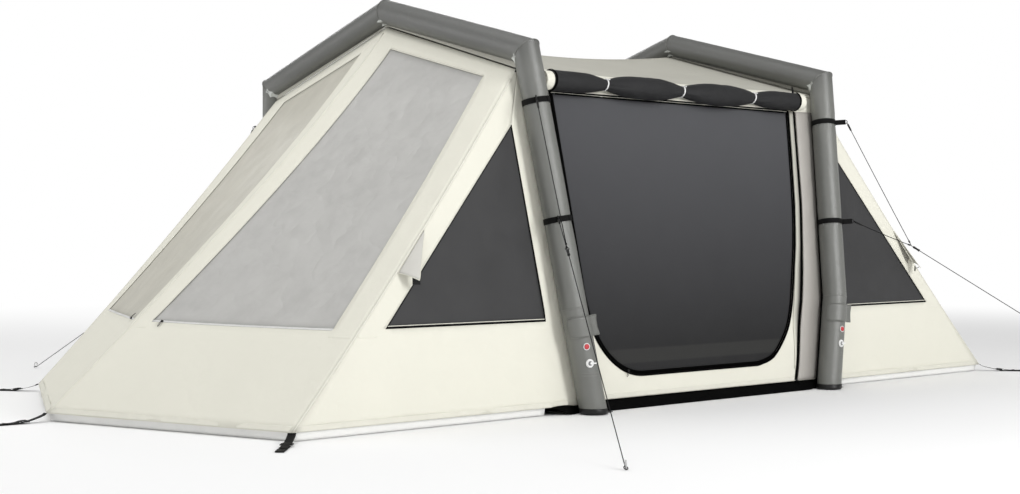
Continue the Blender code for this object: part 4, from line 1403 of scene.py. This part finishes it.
def make_beam(label, side):
    """One arch: a sewn sleeve with mitred bends, drawn in where the bands hold it."""
    half = [FOOT.lerp(KNEE, 0.016 / KNEE.z), KNEE, SHOULDER]
    path = [mirrored(p, side, -1.0) for p in half] + [mirrored(APEX, side, 1.0)]
    path += [mirrored(p, side, 1.0) for p in half[::-1]]
    bends = []
    for before, corner, after in zip(path, path[1:], path[2:]):
        inner = ((before - corner).normalized() + (after - corner).normalized()).normalized()
        bends.append((corner, inner, 1.0 if corner.z > 1.0 else 0.35))
    bands = [band_centre(which, side, face) for which in BAND_FRACTIONS for face in FACES.values()]

    def swell(point, out):
        total = 0.0006 * soft(point, 0.09, 3.0 * side)
        for corner, inner, strength in bends:
            distance = (point - corner).length
            if distance < BEND_REACH:
                near = 1.0 - distance / BEND_REACH
                lean = max(0.0, out.dot(inner))
                total += strength * near * near * lean * 0.0022 * math.sin(distance * 150.0)
                total -= strength * 0.0020 * near * near * (1.0 - lean)
        for centre in bands:
            if (point - centre).length < 0.16:
                d = abs(point.z - centre.z) / 0.034
                total -= 0.0026 * math.exp(-d * d)
                around = math.atan2(point.y - centre.y, point.x - centre.x)
                total += 0.0008 * math.exp(-0.3 * d * d) * math.sin(around * 17.0)
        return total

    rings, mitres = mitred_tube(path, BEAM_RADIUS, BEAM_SIDES, 0.022, swell)
    name = f"beam_sleeve_cloth_{label}"
    sleeve = grid_mesh(name, rings, "sleeve", closed=True, thickness=0.0010)
    sleeve.data.set_sharp_from_angle(angle=math.radians(18))
    placed(sleeve, [f"air_beam_sleeve_{label}"])

    for i, ring in enumerate(mitres):
        big = 0.0017 if 0 < i < len(mitres) - 1 else 0.0012
        make_stitching(f"mitre_seam_{i}_{label}", ring, big)
    for face_label, face in FACES.items():
        for which, height in (("low", 0.190), ("high", 0.204)):
            ring = leg_ring(height, side, face, BEAM_RADIUS + 0.0004, BEAM_SIDES)
            make_stitching(f"sleeve_seam_{which}_{face_label}_{label}", ring, 0.0009)
        make_foot_cap(f"foot_cap_{face_label}_{label}", side, face)


def make_stitching(name, ring, radius, body="tent"):
    """A raised line of stitches round a sleeve or a flap."""
    item = tube(name, ring, radius, "sleeve_seam", closed=True, resolution=2)
    placed(item, body=body)


def leg_ring(height, side, face, radius, sides):
    """A level ring round the lower leg."""
    centre = FOOT.lerp(KNEE, height / KNEE.z)
    return [
        mirrored(centre + Vector((math.cos(a), math.sin(a), 0.0)) * radius, side, face)
        for a in turn(sides)
    ]


def make_foot_cap(name, side, face):
    """The black cap under a leg, with its pull tab on the right."""
    rings = [leg_ring(height, side, face, radius, 40) for height, radius in (
        (0.030, 0.0665), (0.0305, 0.0685), (0.028, 0.0700), (0.012, 0.0705),
        (0.005, 0.0690), (0.0022, 0.0650), (0.0020, 0.0400), (0.0020, 0.0060),
    )]
    cap = grid_mesh(f"{name}_cup", rings, "black", closed=True, cap=True)
    cap.data.set_sharp_from_angle(angle=math.radians(40))
    place = Matrix.Translation(mirrored(FOOT, side, face) + Vector((0.090, 0.0, 0.0045)))
    tab = block(f"{name}_tab", (0.046, 0.026, 0.003), "black", place, 0.001)
    placed(joined(name, [cap, tab]))


def band_centre(which, side, face):
    return mirrored(KNEE.lerp(SHOULDER, BAND_FRACTIONS[which]), side, face)


def band_place(which, side, face):
    """A band's placement: local Z along the leg, local X out to the guy line."""
    axis = mirrored(SHOULDER - KNEE, side, face).normalized()
    towards = mirrored(RING, side, face) - band_centre(which, side, face)
    towards = (towards - axis * towards.dot(axis)).normalized()
    return frame_at(band_centre(which, side, face), axis, towards)


def tab_end(which, side, face):
    return band_place(which, side, face) @ Vector((BAND_OUTER + BAND_TAB, 0.0, 0.0))


def make_band(which, face_label, face, label, side):
    """Webbing round a leg: the ring, its sewn lap, the folded tab and the loop at its end."""
    place = band_place(which, side, face)
    heights = spread(-BAND_HEIGHT / 2.0, BAND_HEIGHT / 2.0, 4)
    parts = []

    def wrap(part, radius, angles, closed):
        grid = []
        for k, z in enumerate(heights):
            r = radius - (0.0005 if k in (0, 4) else 0.0)
            grid.append([place @ Vector((r * math.cos(a), r * math.sin(a), z)) for a in angles])
        parts.append(grid_mesh(part, grid, "webbing", closed=closed, thickness=0.0018))

    wrap("ring", 0.0680, turn(48), True)
    wrap("lap", 0.0700, spread(0.9, 2.1, 17), False)
    buckle = place @ Matrix.Rotation(2.3, 4, "Z") @ Matrix.Translation((0.0716, 0.0, 0.0))
    upright = buckle @ Matrix.Rotation(math.pi / 2, 4, "Y")
    parts.append(ladder_buckle("buckle", upright, 0.036, 0.026))
    reach = BAND_OUTER + BAND_TAB
    fold = reach - 0.010
    bend = [(0.0690, 0.0022), (fold, 0.0022)]
    bend += [(fold + 0.0040 * math.sin(a), 0.0028 * math.cos(a)) for a in spread(0.0, math.pi, 8)]
    bend += [(fold, -0.0022), (0.0690, -0.0022)]
    grid = [[place @ Vector((x, y, z)) for z in heights] for x, y in bend]
    parts.append(grid_mesh("tab", grid, "webbing", thickness=0.0014))
    loop = [
        place @ Vector((reach - 0.004 + 0.008 * math.cos(a), 0.0, 0.010 * math.sin(a)))
        for a in turn(24)
    ]
    parts.append(tube("hook", loop, 0.0018, "black", closed=True))
    item = joined(f"band_{which}_{face_label}_{label}", parts)
    placed(item, [f"guy_band_{face_label}_{label}_{which}"])


def ladder_buckle(name, place, width, length):
    """A ladder-lock buckle: two side rails and three bars, the middle one raised."""
    bars = [
        ((width, 0.005, 0.004), (0.0, -length / 2.0, 0.0)),
        ((width, 0.006, 0.005), (0.0, 0.0, 0.0025)),
        ((width, 0.005, 0.004), (0.0, length / 2.0, 0.0)),
        ((0.005, length + 0.004, 0.0055), (-width / 2.0, 0.0, 0.0)),
        ((0.005, length + 0.004, 0.0055), (width / 2.0, 0.0, 0.0)),
    ]
    parts = [
        block(f"{name}_{i}", size, "black", place @ Matrix.Translation(spot), 0.0012)
        for i, (size, spot) in enumerate(bars)
    ]
    return joined(name, parts)


# ---------------------------------------------------------------- guy lines, pegs and straps

def taut_line(start, end, sag):
    """Points of a tight cord between two places, with the little sag that a tight cord has."""
    return [start.lerp(end, t) + UP * (-sag * 4.0 * t * (1.0 - t)) for t in spread(0.0, 1.0, 16)]


def make_guy_line(face_label, face, label, side):
    """Two bridle cords from a leg's bands to a ring, and one line from the ring to its peg."""
    name = f"{face_label}_{label}"
    ring = mirrored(RING, side, face)
    peg = mirrored(PEG, side, face)
    way = (peg - ring).normalized()
    level = UP.cross(way).normalized()
    eye_points = [ring + (way * math.cos(a) + level * math.sin(a)) * 0.009 for a in turn(28)]
    eye = placed(tube(f"guy_ring_{name}", eye_points, 0.0019, "black", closed=True))

    peg_piece = make_guy_peg(f"guy_peg_{name}", peg, way)
    runner = make_tensioner(name, ring + way * RUNNER_FROM_RING, way)
    main_points = taut_line(ring + way * 0.006, peg, 0.0008)
    main = make_cord(f"guy_cord_main_{name}", main_points, name)
    for which in BAND_FRACTIONS:
        tab = tab_end(which, side, face)
        points = taut_line(tab, ring - (ring - tab).normalized() * 0.006, 0.003)
        cord = make_cord(f"guy_cord_{which}_{name}", points, name)
        first = points[1] - points[0]
        last = points[-1] - points[-2]
        knots = [
            make_knot(f"knot_{which}_band_{name}", points[0].lerp(points[1], 0.5), first),
            make_knot(f"knot_{which}_ring_{name}", points[-1].lerp(points[-2], 0.4), last),
            make_cord_end(f"cord_end_{which}_{name}", points[0], first.normalized()),
        ]
    tail = make_knot(f"knot_main_{name}", main_points[0].lerp(main_points[1], 0.12), way)


def make_cord(cord_name, points, name):
    """One run of guy cord, in place of its part of the CAD line."""
    cord = tube(cord_name, points, CORD / 2.0, "cord", resolution=4)
    return placed(cord, [f"guy_line_{name}"])


def make_knot(name, spot, way):
    """An overhand knot: a few tight turns of the cord round itself."""
    hint = UP if abs(way.normalized().z) < 0.9 else Vector((1, 0, 0))
    place = frame_at(spot, way, hint)
    turns = []
    for i in range(43):
        a = math.tau * 2.6 * i / 42
        radius = 0.0030 + 0.0008 * math.sin(a * 0.6)
        height = mix(-0.006, 0.006, i / 42)
        turns.append(place @ Vector((radius * math.cos(a), radius * math.sin(a), height)))
    return placed(tube(name, turns, 0.0019, "cord", resolution=2))


def make_cord_end(name, start, way):
    """The black sleeve crimped over a cord where it leaves its band."""
    place = frame_at(start + way * 0.036, way, UP)
    profile = [
        (0.0023, -0.0220), (0.0046, -0.0214), (0.0052, -0.0180), (0.0050, 0.0100), (0.0044, 0.0190),
        (0.0036, 0.0220), (0.0023, 0.0222),
    ]
    item = lathe(name, profile, "black", place, steps=20, closed=True)
    return placed(item)


def make_tensioner(name, centre, way):
    """A runner that slides on the line: a waisted barrel with grip ridges and a bore."""
    profile = [(0.0030, -0.0200), (0.0052, -0.0200), (0.0064, -0.0192)]
    for t in spread(0.0, 1.0, 28):
        waist = 0.0066 - 0.0012 * math.sin(math.pi * t)
        ridge = 0.0005 * math.cos(math.tau * 6.0 * t)
        profile.append((waist + ridge, mix(-0.0180, 0.0180, t)))
    profile += [(0.0068, 0.0192), (0.0056, 0.0200), (0.0030, 0.0200)]
    item = lathe(f"line_runner_{name}", profile, "black", frame_at(centre, way, UP), closed=True)
    return placed(item, [f"line_tensioner_{name}"], f"tensioner_{name}")


def make_guy_peg(name, peg, way):
    """The hook of a steel rod peg that the line's loop is caught under, and the loop."""
    level = Vector((way.x, way.y, 0.0)).normalized()
    sideways = level.cross(UP)
    rod = [peg + level * 0.012 + UP * z for z in (-0.0045, 0.008, 0.020)]
    for a in spread(0.0, math.pi, 8)[1:]:
        rod.append(peg + level * (0.003 + 0.009 * math.cos(a)) + UP * (0.020 + 0.009 * math.sin(a)))
    rod.append(rod[-1] + UP * -0.008)
    hook = tube("rod", rod, 0.0028, "steel", resolution=4)
    loop = []
    for a in turn(24):
        out = level * (0.004 + 0.013 * math.cos(a)) + sideways * 0.007 * math.sin(a)
        loop.append(peg + out + UP * (0.002 - 0.004 * math.cos(a)))
    eye = tube("eye", loop, 0.0019, "cord", closed=True)
    return placed(joined(name, [hook, eye]))


def make_peg_strap(name, start, end, node):
    """Webbing from a hem corner down to the ground, through a ladder lock, to a peg loop."""
    run = Vector((end.x - start.x, end.y - start.y, 0.0))
    level = run.normalized()
    length = run.length
    lock = length * 0.42
    across = level.cross(UP)

    def at(distance, z):
        return Vector((start.x, start.y, 0.0)) + level * distance + Vector((0.0, 0.0, z))

    def web(part, *path):
        grid = []
        for p in curved([at(distance, z) for distance, z in path], 0.006):
            wave = Vector((0, 0, 0.0006 * soft(p, 0.03, 2.0)))
            grid.append([p + across * 0.036 * (k / 6 - 0.5) + wave for k in range(7)])
        return grid_mesh(part, grid, "webbing", thickness=0.0016)

    parts = [
        web("upper", (0.004, HEM + 0.001), (0.020, 0.030), (lock - 0.030, 0.0125), (lock, 0.0115)),
        web("under", (lock + 0.004, 0.0035), (lock + 0.05, 0.0022), (length * 0.8, 0.0018),
            (length - 0.004, 0.0022)),
        web("tail", (lock - 0.012, 0.0150), (lock + 0.012, 0.0140), (lock + 0.040, 0.0080),
            (lock + 0.070, 0.0060), (lock + 0.095, 0.0085)),
        web("loop", (length - 0.075, 0.0052), (length - 0.03, 0.0060), (length - 0.004, 0.0050),
            (length, 0.0036), (length - 0.004, 0.0022)),
    ]
    parts.append(ladder_buckle("lock", frame_at(at(lock, 0.0100), UP, across), 0.048, 0.032))
    placed(joined(name, parts), [node])


# ---------------------------------------------------------------- valves, flaps and vents

def valve_placement(side, height):
    """Where a valve meets the beam: local Z points out, local X along the tent."""
    centre = mirrored(FOOT.lerp(KNEE, height / KNEE.z), side, -1.0)
    axis = mirrored(KNEE - FOOT, side, -1.0).normalized()
    turn = VALVE_TURN + side * VALVE_SPREAD
    out = Vector((math.sin(turn), -math.cos(turn), 0.0))
    out = (out - axis * out.dot(axis)).normalized()
    return frame_at(centre + out * BEAM_RADIUS, out, Vector((1.0, 0.0, 0.0)))


def make_valves(label, side):
    """The inflation valve with its tethered cap, and the relief valve with its red button."""
    place = valve_placement(side, INFLATION_HEIGHT)
    body = [
        (0.0070, -0.0110), (0.0108, -0.0110), (0.0108, 0.0006), (0.0206, 0.0006), (0.0210, 0.0012),
        (0.0210, 0.0022), (0.0203, 0.0031), (0.0190, 0.0033), (0.0088, 0.0030), (0.0080, 0.0034),
        (0.0070, 0.0030),
    ]
    item = lathe(f"inflation_body_{label}", body, "white", place, steps=40, closed=True)
    placed(item, [f"inflation_valve_{label}"])
    lid = [
        (0.0112, 0.0044), (0.0114, 0.0062), (0.0124, 0.0068), (0.0160, 0.0066), (0.0176, 0.0058),
        (0.0180, 0.0046), (0.0176, 0.0039), (0.0112, 0.0039),
    ]
    # The grey floor inside the lid's white ring is painted shade of the recess.
    floor = [(0.0014, 0.0039), (0.0115, 0.0039), (0.0115, 0.0046), (0.0014, 0.0047)]
    plug = [(0.0056, 0.0046), (0.0060, 0.0052), (0.0060, 0.0070), (0.0050, 0.0078), (0.0016, 0.0080)]
    aside = place @ Matrix.Translation((0.0052, 0.0, 0.0))
    tip = place @ Matrix.Translation((0.0230, 0.0, 0.0052))
    parts = [
        lathe("lid", lid, "white", place, steps=40, closed=True),
        lathe("floor", floor, "grey", place),
        lathe("plug", plug, "white", aside, steps=24),
        block("tongue", (0.020, 0.0064, 0.0022), "white", tip, 0.0008),
    ]
    item = joined(f"inflation_lid_{label}", parts)
    placed(item, [f"inflation_cap_{label}"], f"cap_{label}")

    place = valve_placement(side, RELIEF_HEIGHT)
    body = [
        (0.0135, -0.0110), (0.0148, -0.0110), (0.0148, 0.0006), (0.0168, 0.0006), (0.0172, 0.0012),
        (0.0170, 0.0026), (0.0161, 0.0034), (0.0143, 0.0034), (0.0135, 0.0028),
    ]
    item = lathe(f"relief_body_{label}", body, "white", place, steps=40, closed=True)
    placed(item, [f"relief_valve_{label}"])
    button = [
        (0.0122, -0.0015), (0.0127, -0.0008), (0.0127, 0.0048), (0.0118, 0.0064), (0.0096, 0.0073),
        (0.0060, 0.0070), (0.0020, 0.0069),
    ]
    item = lathe(f"relief_cap_{label}", button, "red", place, steps=40)
    placed(item, [f"relief_button_{label}"], f"button_{label}")


def make_flap(label, side):
    """The cloth flap over the leg's opening: its round corners, a loose end and a bound edge."""
    low, high = FLAP_BOTTOM, FLAP_BOTTOM + FLAP_HEIGHT
    centre = mirrored(FOOT.lerp(KNEE, (low + high) / 2.0 / KNEE.z), side, -1.0)
    axis = mirrored(KNEE - FOOT, side, -1.0).normalized()
    out = Vector((0.0, -1.0, 0.0))
    out = (out - axis * out.dot(axis)).normalized()
    right = axis.cross(out)
    right = -right if right.x < 0 else right
    start, end = (math.radians(a) for a in FLAP_ANGLES)
    radius = FLAP_RADIUS + 0.0004
    path = []
    for a in spread(start, end, 30):
        path.append(centre + (right * math.sin(a) + out * math.cos(a)) * radius)
    tangent = right * math.cos(end) - out * math.sin(end)
    curl = (tangent * 0.3 + right).normalized()
    last = path[-1]
    for t in spread(0.0, 1.0, 8)[1:]:
        path.append(last + curl * FLAP_TAIL * t + out * 0.004 * t * t)
    grid = []
    for i, point in enumerate(path):
        s = i / (len(path) - 1)
        trim = 0.016 * max(0.0, 1.0 - s / 0.13) ** 2.2
        hollow = 0.009 * smooth((s - 0.8) / 0.2)
        half = FLAP_HEIGHT / 2.0 - trim
        level = Vector((0.0, 0.0, -0.5 * (point - centre).dot(right) * right.z))
        grid.append([
            point + level + axis * mix(-half, half, k / 12) - curl * hollow * math.sin(math.pi * k / 12)
            for k in range(13)
        ])

    def ripple(r, c, point):
        return 0.0010 * soft(point, 0.03, 5.0) * smooth((r - 8) / 20)

    grid = relief(grid, out, ripple)
    flap = grid_mesh(f"flap_cloth_{label}", grid, "sleeve", thickness=0.0014)
    placed(flap, [f"valve_flap_{label}"], f"flap_{label}")
    grid_area(grid)
    rim = [row[0] for row in grid] + grid[-1] + [row[-1] for row in grid[::-1]] + grid[0][::-1]
    edge = [p + (p - centre).normalized() * 0.0008 for p in resampled(rim, 0.008)]
    make_stitching(f"flap_binding_{label}", edge[:-1], 0.0014, f"flap_{label}")


def vent_frame(side, face):
    top = mirrored(SKIN_EAVE, side, face)
    along = (mirrored(CORNER, side, face) - top).normalized()
    base = mirrored(SKIN_BASE, side, face)
    out = along.cross(base - top).normalized()
    out = -out if out.y * face < 0.0 else out
    across = out.cross(along).normalized()
    across = -across if across.x * side > 0.0 else across
    lift = Vector((-side * SIDE_SEAM_SAG, 0.0, 0.0)) + out * VENT_LIFT + across * VENT_LIFT
    hinge_top = top + along * VENT_TOP + lift
    hinge_bottom = top + along * VENT_BOTTOM + lift
    corner = hinge_bottom + (across * math.cos(VENT_OPEN) + out * math.sin(VENT_OPEN)) * VENT_WIDTH
    return hinge_top, hinge_bottom, corner, out, across, along


def make_vent(face_label, face, label, side):
    """A hooded vent: a cloth wedge along the seam, its strut, and the mesh over its opening."""
    name = f"{face_label}_{label}"
    hinge_top, hinge_bottom, corner, out, across, along = vent_frame(side, face)
    rows, columns = 16, 10
    grid = []
    for t in spread(0.0, 1.0, rows):
        start = hinge_top.lerp(hinge_bottom, t)
        end = hinge_top.lerp(corner, t).lerp(start, 1.0 - VENT_CLOTH / VENT_WIDTH)
        line = []
        for u in spread(0.0, 1.0, columns):
            bow = 0.010 * math.sin(math.pi * u) * t
            line.append(start.lerp(end, u) + out * bow)
        grid.append(line)

    def ripple(r, c, point):
        return 0.0016 * soft(point, 0.06, 8.0) * math.sin(math.pi * c / columns) * r / rows

    grid = relief(grid, out, ripple)
    body = f"vent_{name}"
    cloth = grid_mesh(f"vent_cloth_{name}", grid, "vent", thickness=0.0010)
    placed(cloth, [f"vent_flap_{name}"], body)
    grid_area(grid)
    edge = resampled(grid[-1] + [row[-1] for row in grid[-2::-1]], 0.012)
    binding = tube(f"vent_binding_{name}", edge, 0.0018, "piping", resolution=2)
    placed(binding, body=body)

    # The strut stands on the skin.
    spot = hinge_bottom + across * VENT_STRUT_ACROSS + out * VENT_STRUT_OUT - along * 0.006
    place = frame_at(spot, mirrored((0.64, 0.77, 0.0), side, face), UP)
    parts = [
        block("strut_end", (0.032, 0.036, 0.004), "black", place, 0.0012),
        block("strut_rib", (0.026, 0.006, 0.007), "black", place, 0.0012),
        tube("strut_bar", [spot, hinge_bottom.lerp(corner, 0.72)], 0.0016, "black"),
    ]
    strut = placed(joined(f"vent_strut_{name}", parts))
    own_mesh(strut)

    low = hinge_bottom + across * 0.075 + along * 0.010
    patch = []
    for r in range(rows + 1):
        t = VENT_MESH_SHARE * r / rows
        start, end = hinge_top.lerp(hinge_bottom, t), hinge_top.lerp(low, t)
        patch.append([start.lerp(end, 0.1 + 0.9 * k / 4) - out * 0.004 for k in range(5)])
    mesh = grid_mesh(f"vent_mesh_{name}", patch, "vent_mesh", thickness=0.0005)
    placed(mesh)
    grid_area(patch)


# ---------------------------------------------------------------- rolled door

def roll_radius(x):
    radius = ROLL_RADIUS
    for pinch in ROLL_PINCHES:
        distance = abs(x - pinch) / ROLL_PINCH_HALF
        if distance < 1.0:
            radius -= ROLL_PINCH_DEPTH * (1.0 - distance) ** 2
    for low, high in zip(ROLL_PINCHES, ROLL_PINCHES[1:]):
        if low < x < high:
            radius += ROLL_FULLNESS * math.sin(math.pi * (x - low) / (high - low)) ** 2
    return radius


def roll_point(x, radius, angle):
    y, z = ROLL_CENTRE
    return Vector((x, y + radius * math.cos(angle), z + radius * math.sin(angle)))


def make_roll():
    """The outer door rolled up: bulging between its ties, with folds that run to each tie."""
    low, high = ROLL_X[0] + ROLL_END, ROLL_X[1] - ROLL_END
    sides = 56
    grid = []
    for x in spread(low, high, 130):
        base = roll_radius(x)
        drawn = max(0.0, (ROLL_RADIUS - base) / ROLL_PINCH_DEPTH)
        line = []
        for k, a in enumerate(turn(sides)):
            swing = math.sin(9.0 * a + 3.0 * soft((x * 2.0, 0, 0), 0.6, 1.0))
            fold = 0.0030 * drawn * (1.0 - 0.4 * drawn) * swing
            wrap = 0.0030 * ((k / sides + 0.16) % 1.0)
            lump = 0.0026 * soft((x * 0.8, math.cos(a) * 0.10, math.sin(a) * 0.10), 0.12, 6.0)
            line.append(roll_point(x, base - 0.0020 + fold + wrap + lump, a))
        grid.append(line)
    for radius in (0.040, 0.006):
        grid.append([roll_point(high, radius, a) for a in turn(sides)])
        grid.insert(0, [roll_point(low, radius, a) for a in turn(sides)])
    roll = grid_mesh("rolled_door", grid, "dark", closed=True, cap=True)
    roll.data.set_sharp_from_angle(angle=math.radians(60))
    placed(roll, ["door_roll"])

    for end_label, x, way in (("left", ROLL_X[0], 1.0), ("right", ROLL_X[1], -1.0)):
        make_roll_end(end_label, x, way)
    for i, pinch in enumerate(ROLL_PINCHES):
        make_roll_tie(f"roll_tie_{i}", pinch)

    y, z = ROLL_CENTRE
    line = [Vector((0.864, y + 0.004, z + 0.030)), Vector((0.865, y + 0.004, z + 0.062)),
            Vector((0.866, y + 0.010, z + 0.084))]
    tape("roll_tab", curved(line, 0.005), Vector((0.0, -1.0, 0.0)), 0.013, "webbing", 0.0020)


def make_roll_end(end_label, x, way):
    """One end of the roll: the cloth's coiled edge and the black binding next to it."""
    inner = x + way * ROLL_END
    coil = []
    for i in range(121):
        a = math.tau * ROLL_TURNS * i / 120
        radius = mix(ROLL_CORE, ROLL_RADIUS - 0.0005, i / 120)
        radius += 0.0006 * soft((math.cos(a), math.sin(a), 0.0), 0.4, 2.0)
        row = []
        for c in range(7):
            slump = 0.0012 * math.sin(math.pi * c / 6)
            row.append(roll_point(mix(x, inner + way * 0.006, c / 6), radius + slump, a))
        coil.append(row)
    placed(grid_mesh(f"roll_end_{end_label}", coil, "cream", thickness=TAPE))
    band = []
    for c in range(7):
        spot = inner + way * (0.002 + 0.011 * c / 6)
        radius = ROLL_RADIUS + 0.0018 + 0.0014 * math.sin(math.pi * c / 6)
        band.append([roll_point(spot, radius, a) for a in turn(56)])
    item = grid_mesh(f"roll_binding_{end_label}", band, "zip", closed=True, thickness=ZIP_TAPE)
    placed(item)


def make_roll_tie(name, pinch):
    """A white tie round the roll, with its hanging end and its toggle."""
    radius = roll_radius(pinch) + 0.0035
    ring = []
    for a in turn(48):
        x = pinch + 0.006 * math.sin(a + 0.6)
        ring.append(roll_point(x, radius * (1.0 + 0.05 * math.cos(a)), a))
    y, z = ROLL_CENTRE
    hang = [
        roll_point(pinch - 0.006, radius + 0.001, math.radians(75)),
        Vector((pinch - 0.020, y + 0.030, z + 0.030)),
        Vector((pinch - 0.038, y + 0.062, z + 0.036)),
    ]
    place = Matrix.Translation(Vector((pinch + 0.002, y - 0.020, z + radius - 0.004)))
    parts = [
        tube("tie", ring, 0.0042, "white", closed=True),
        tube("hang", curved(hang, 0.006), 0.0024, "white"),
        block("toggle", (0.006, 0.024, 0.006), "white", place, 0.0015),
    ]
    placed(joined(name, parts))


def make_door_top():
    """The strip of cloth under the roll, and a black tape that paints the shadow gap under it, over the
    door's straight edge.
    """
    drip = []
    for x in spread(ROLL_X[0] + 0.03, ROLL_X[1] - 0.03, 80):
        start = wall_point(x, 1.600) + wall_normal(1.6) * 0.004
        end = wall_point(x, 1.568) + wall_normal(1.6) * (0.030 + 0.003 * soft((x, 0, 0), 0.2, 4.0))
        drip.append([start.lerp(end, t) + UP * (0.004 * math.sin(math.pi * t))
                     for t in spread(0.0, 1.0, 6)])
    placed(grid_mesh("roll_drip_edge", drip, "piping", thickness=TAPE))
    # A black tape along the door's top edge: painted shadow under the roll.
    line = [wall_point(x, DOOR_TOP + 0.006) for x in spread(DOOR_LEFT_TOP, DOOR_RIGHT[-1][0], 60)]
    tape("door_top_shadow_tape", line, wall_normal(1.5), 0.009, "zip", ZIP_TAPE, 0.0030, 0.001)


# ---------------------------------------------------------------- stage

def make_stage():
    """A pale floor that fades into the white background, soft lights, and the camera."""
    make_floor()
    make_world()
    for name, place, size, power in LIGHTS:
        lamp = bpy.data.lights.new(name, "AREA")
        lamp.shape = "RECTANGLE"
        lamp.size, lamp.size_y = size
        lamp.energy = power
        item = bpy.data.objects.new(name, lamp)
        item.location = place
        item.rotation_euler = (LIGHT_TARGET - Vector(place)).to_track_quat("-Z", "Y").to_euler()
        bpy.context.scene.collection.objects.link(item)

    camera = bpy.data.cameras.new("camera")
    camera.lens = CAMERA_LENS
    camera.sensor_width = 36.0
    camera.clip_end = 200.0
    item = bpy.data.objects.new("camera", camera)
    item.location = CAMERA_PLACE
    flat = math.cos(CAMERA_PITCH)
    look = Vector((flat * math.cos(CAMERA_YAW), flat * math.sin(CAMERA_YAW), math.sin(CAMERA_PITCH)))
    item.rotation_euler = look.to_track_quat("-Z", "Y").to_euler()
    bpy.context.scene.collection.objects.link(item)
    bpy.context.scene.camera = item
    bpy.context.scene.view_settings.view_transform = "Standard"
    bpy.context.scene.view_settings.look = "None"


def make_floor():
    """A wide pale disc that turns into plain white light away from the tent."""
    bpy.ops.mesh.primitive_circle_add(
        vertices=96, radius=60.0, fill_type="NGON", location=(0, 0, -0.0006),
    )
    floor = bpy.context.object
    floor.name = "studio_floor"
    pale = Look("studio_floor", FLOOR_COLOUR, 0.85, Specular_IOR_Level=0.2)
    where = pale.add("ShaderNodeTexCoord")
    length = pale.add("ShaderNodeVectorMath", {0: where.outputs["Object"]}, operation="LENGTH")
    fade = pale.add("ShaderNodeMapRange", {
        "Value": length.outputs["Value"], "From Min": FLOOR_FADE[0], "From Max": FLOOR_FADE[1],
    }, interpolation_type="SMOOTHSTEP")
    white = pale.add("ShaderNodeEmission")
    blend = pale.add("ShaderNodeMixShader", {
        0: fade.outputs["Result"], 1: pale.shader.outputs[0], 2: white.outputs[0],
    })
    pale.links.new(blend.outputs[0], pale.nodes["Material Output"].inputs["Surface"])
    floor.data.materials.append(pale.material)


def make_world():
    """Even light from all round, and a pure white background for the camera."""
    world = bpy.data.worlds.new("studio")
    world.use_nodes = True
    bpy.context.scene.world = world
    nodes, links = world.node_tree.nodes, world.node_tree.links
    lit = nodes["Background"]
    lit.inputs["Color"].default_value = (1.0, 1.0, 1.0, 1.0)
    lit.inputs["Strength"].default_value = WORLD_LIGHT
    seen = nodes.new("ShaderNodeBackground")
    seen.inputs["Color"].default_value = (1.0, 1.0, 1.0, 1.0)
    ray = nodes.new("ShaderNodeLightPath")
    choose = nodes.new("ShaderNodeMixShader")
    links.new(ray.outputs["Is Camera Ray"], choose.inputs[0])
    links.new(lit.outputs[0], choose.inputs[1])
    links.new(seen.outputs[0], choose.inputs[2])
    links.new(choose.outputs[0], nodes["World Output"].inputs["Surface"])


LOOKS = make_looks()
make_stage()
for side_label, side_sign in SIDES.items():
    for row_label, row_sign in FACES.items():
        make_guy_line(row_label, row_sign, side_label, side_sign)
for side_label, side_sign in SIDES.items():
    make_beam(side_label, side_sign)
    make_valves(side_label, side_sign)
    make_flap(side_label, side_sign)
    make_end(side_label, side_sign)
    make_peg_strap(
        f"strap_prow_{side_label}", mirrored(PROW, side_sign, 1.0),
        mirrored(PROW_STRAP_END, side_sign, 1.0), f"peg_strap_prow_{side_label}",
    )
    for row_label, row_sign in FACES.items():
        make_side(row_label, row_sign, side_label, side_sign)
        make_vent(row_label, row_sign, side_label, side_sign)
        make_peg_strap(
            f"strap_{row_label}_{side_label}", mirrored(CORNER, side_sign, row_sign),
            mirrored(CORNER_STRAP_END, side_sign, row_sign), f"peg_strap_{row_label}_{side_label}",
        )
        for band in BAND_FRACTIONS:
            make_band(band, row_label, row_sign, side_label, side_sign)
    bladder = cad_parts[f"air_beam_bladder_{side_label}"]
    bladder.material_slots[0].material = LOOKS["bladder"]
make_door_wall()
make_zips()
make_wall_edges()
make_mesh_door()
make_rear_wall()
make_roof()
make_skirts()
make_ground()
make_sill()
make_roll()
make_door_top()
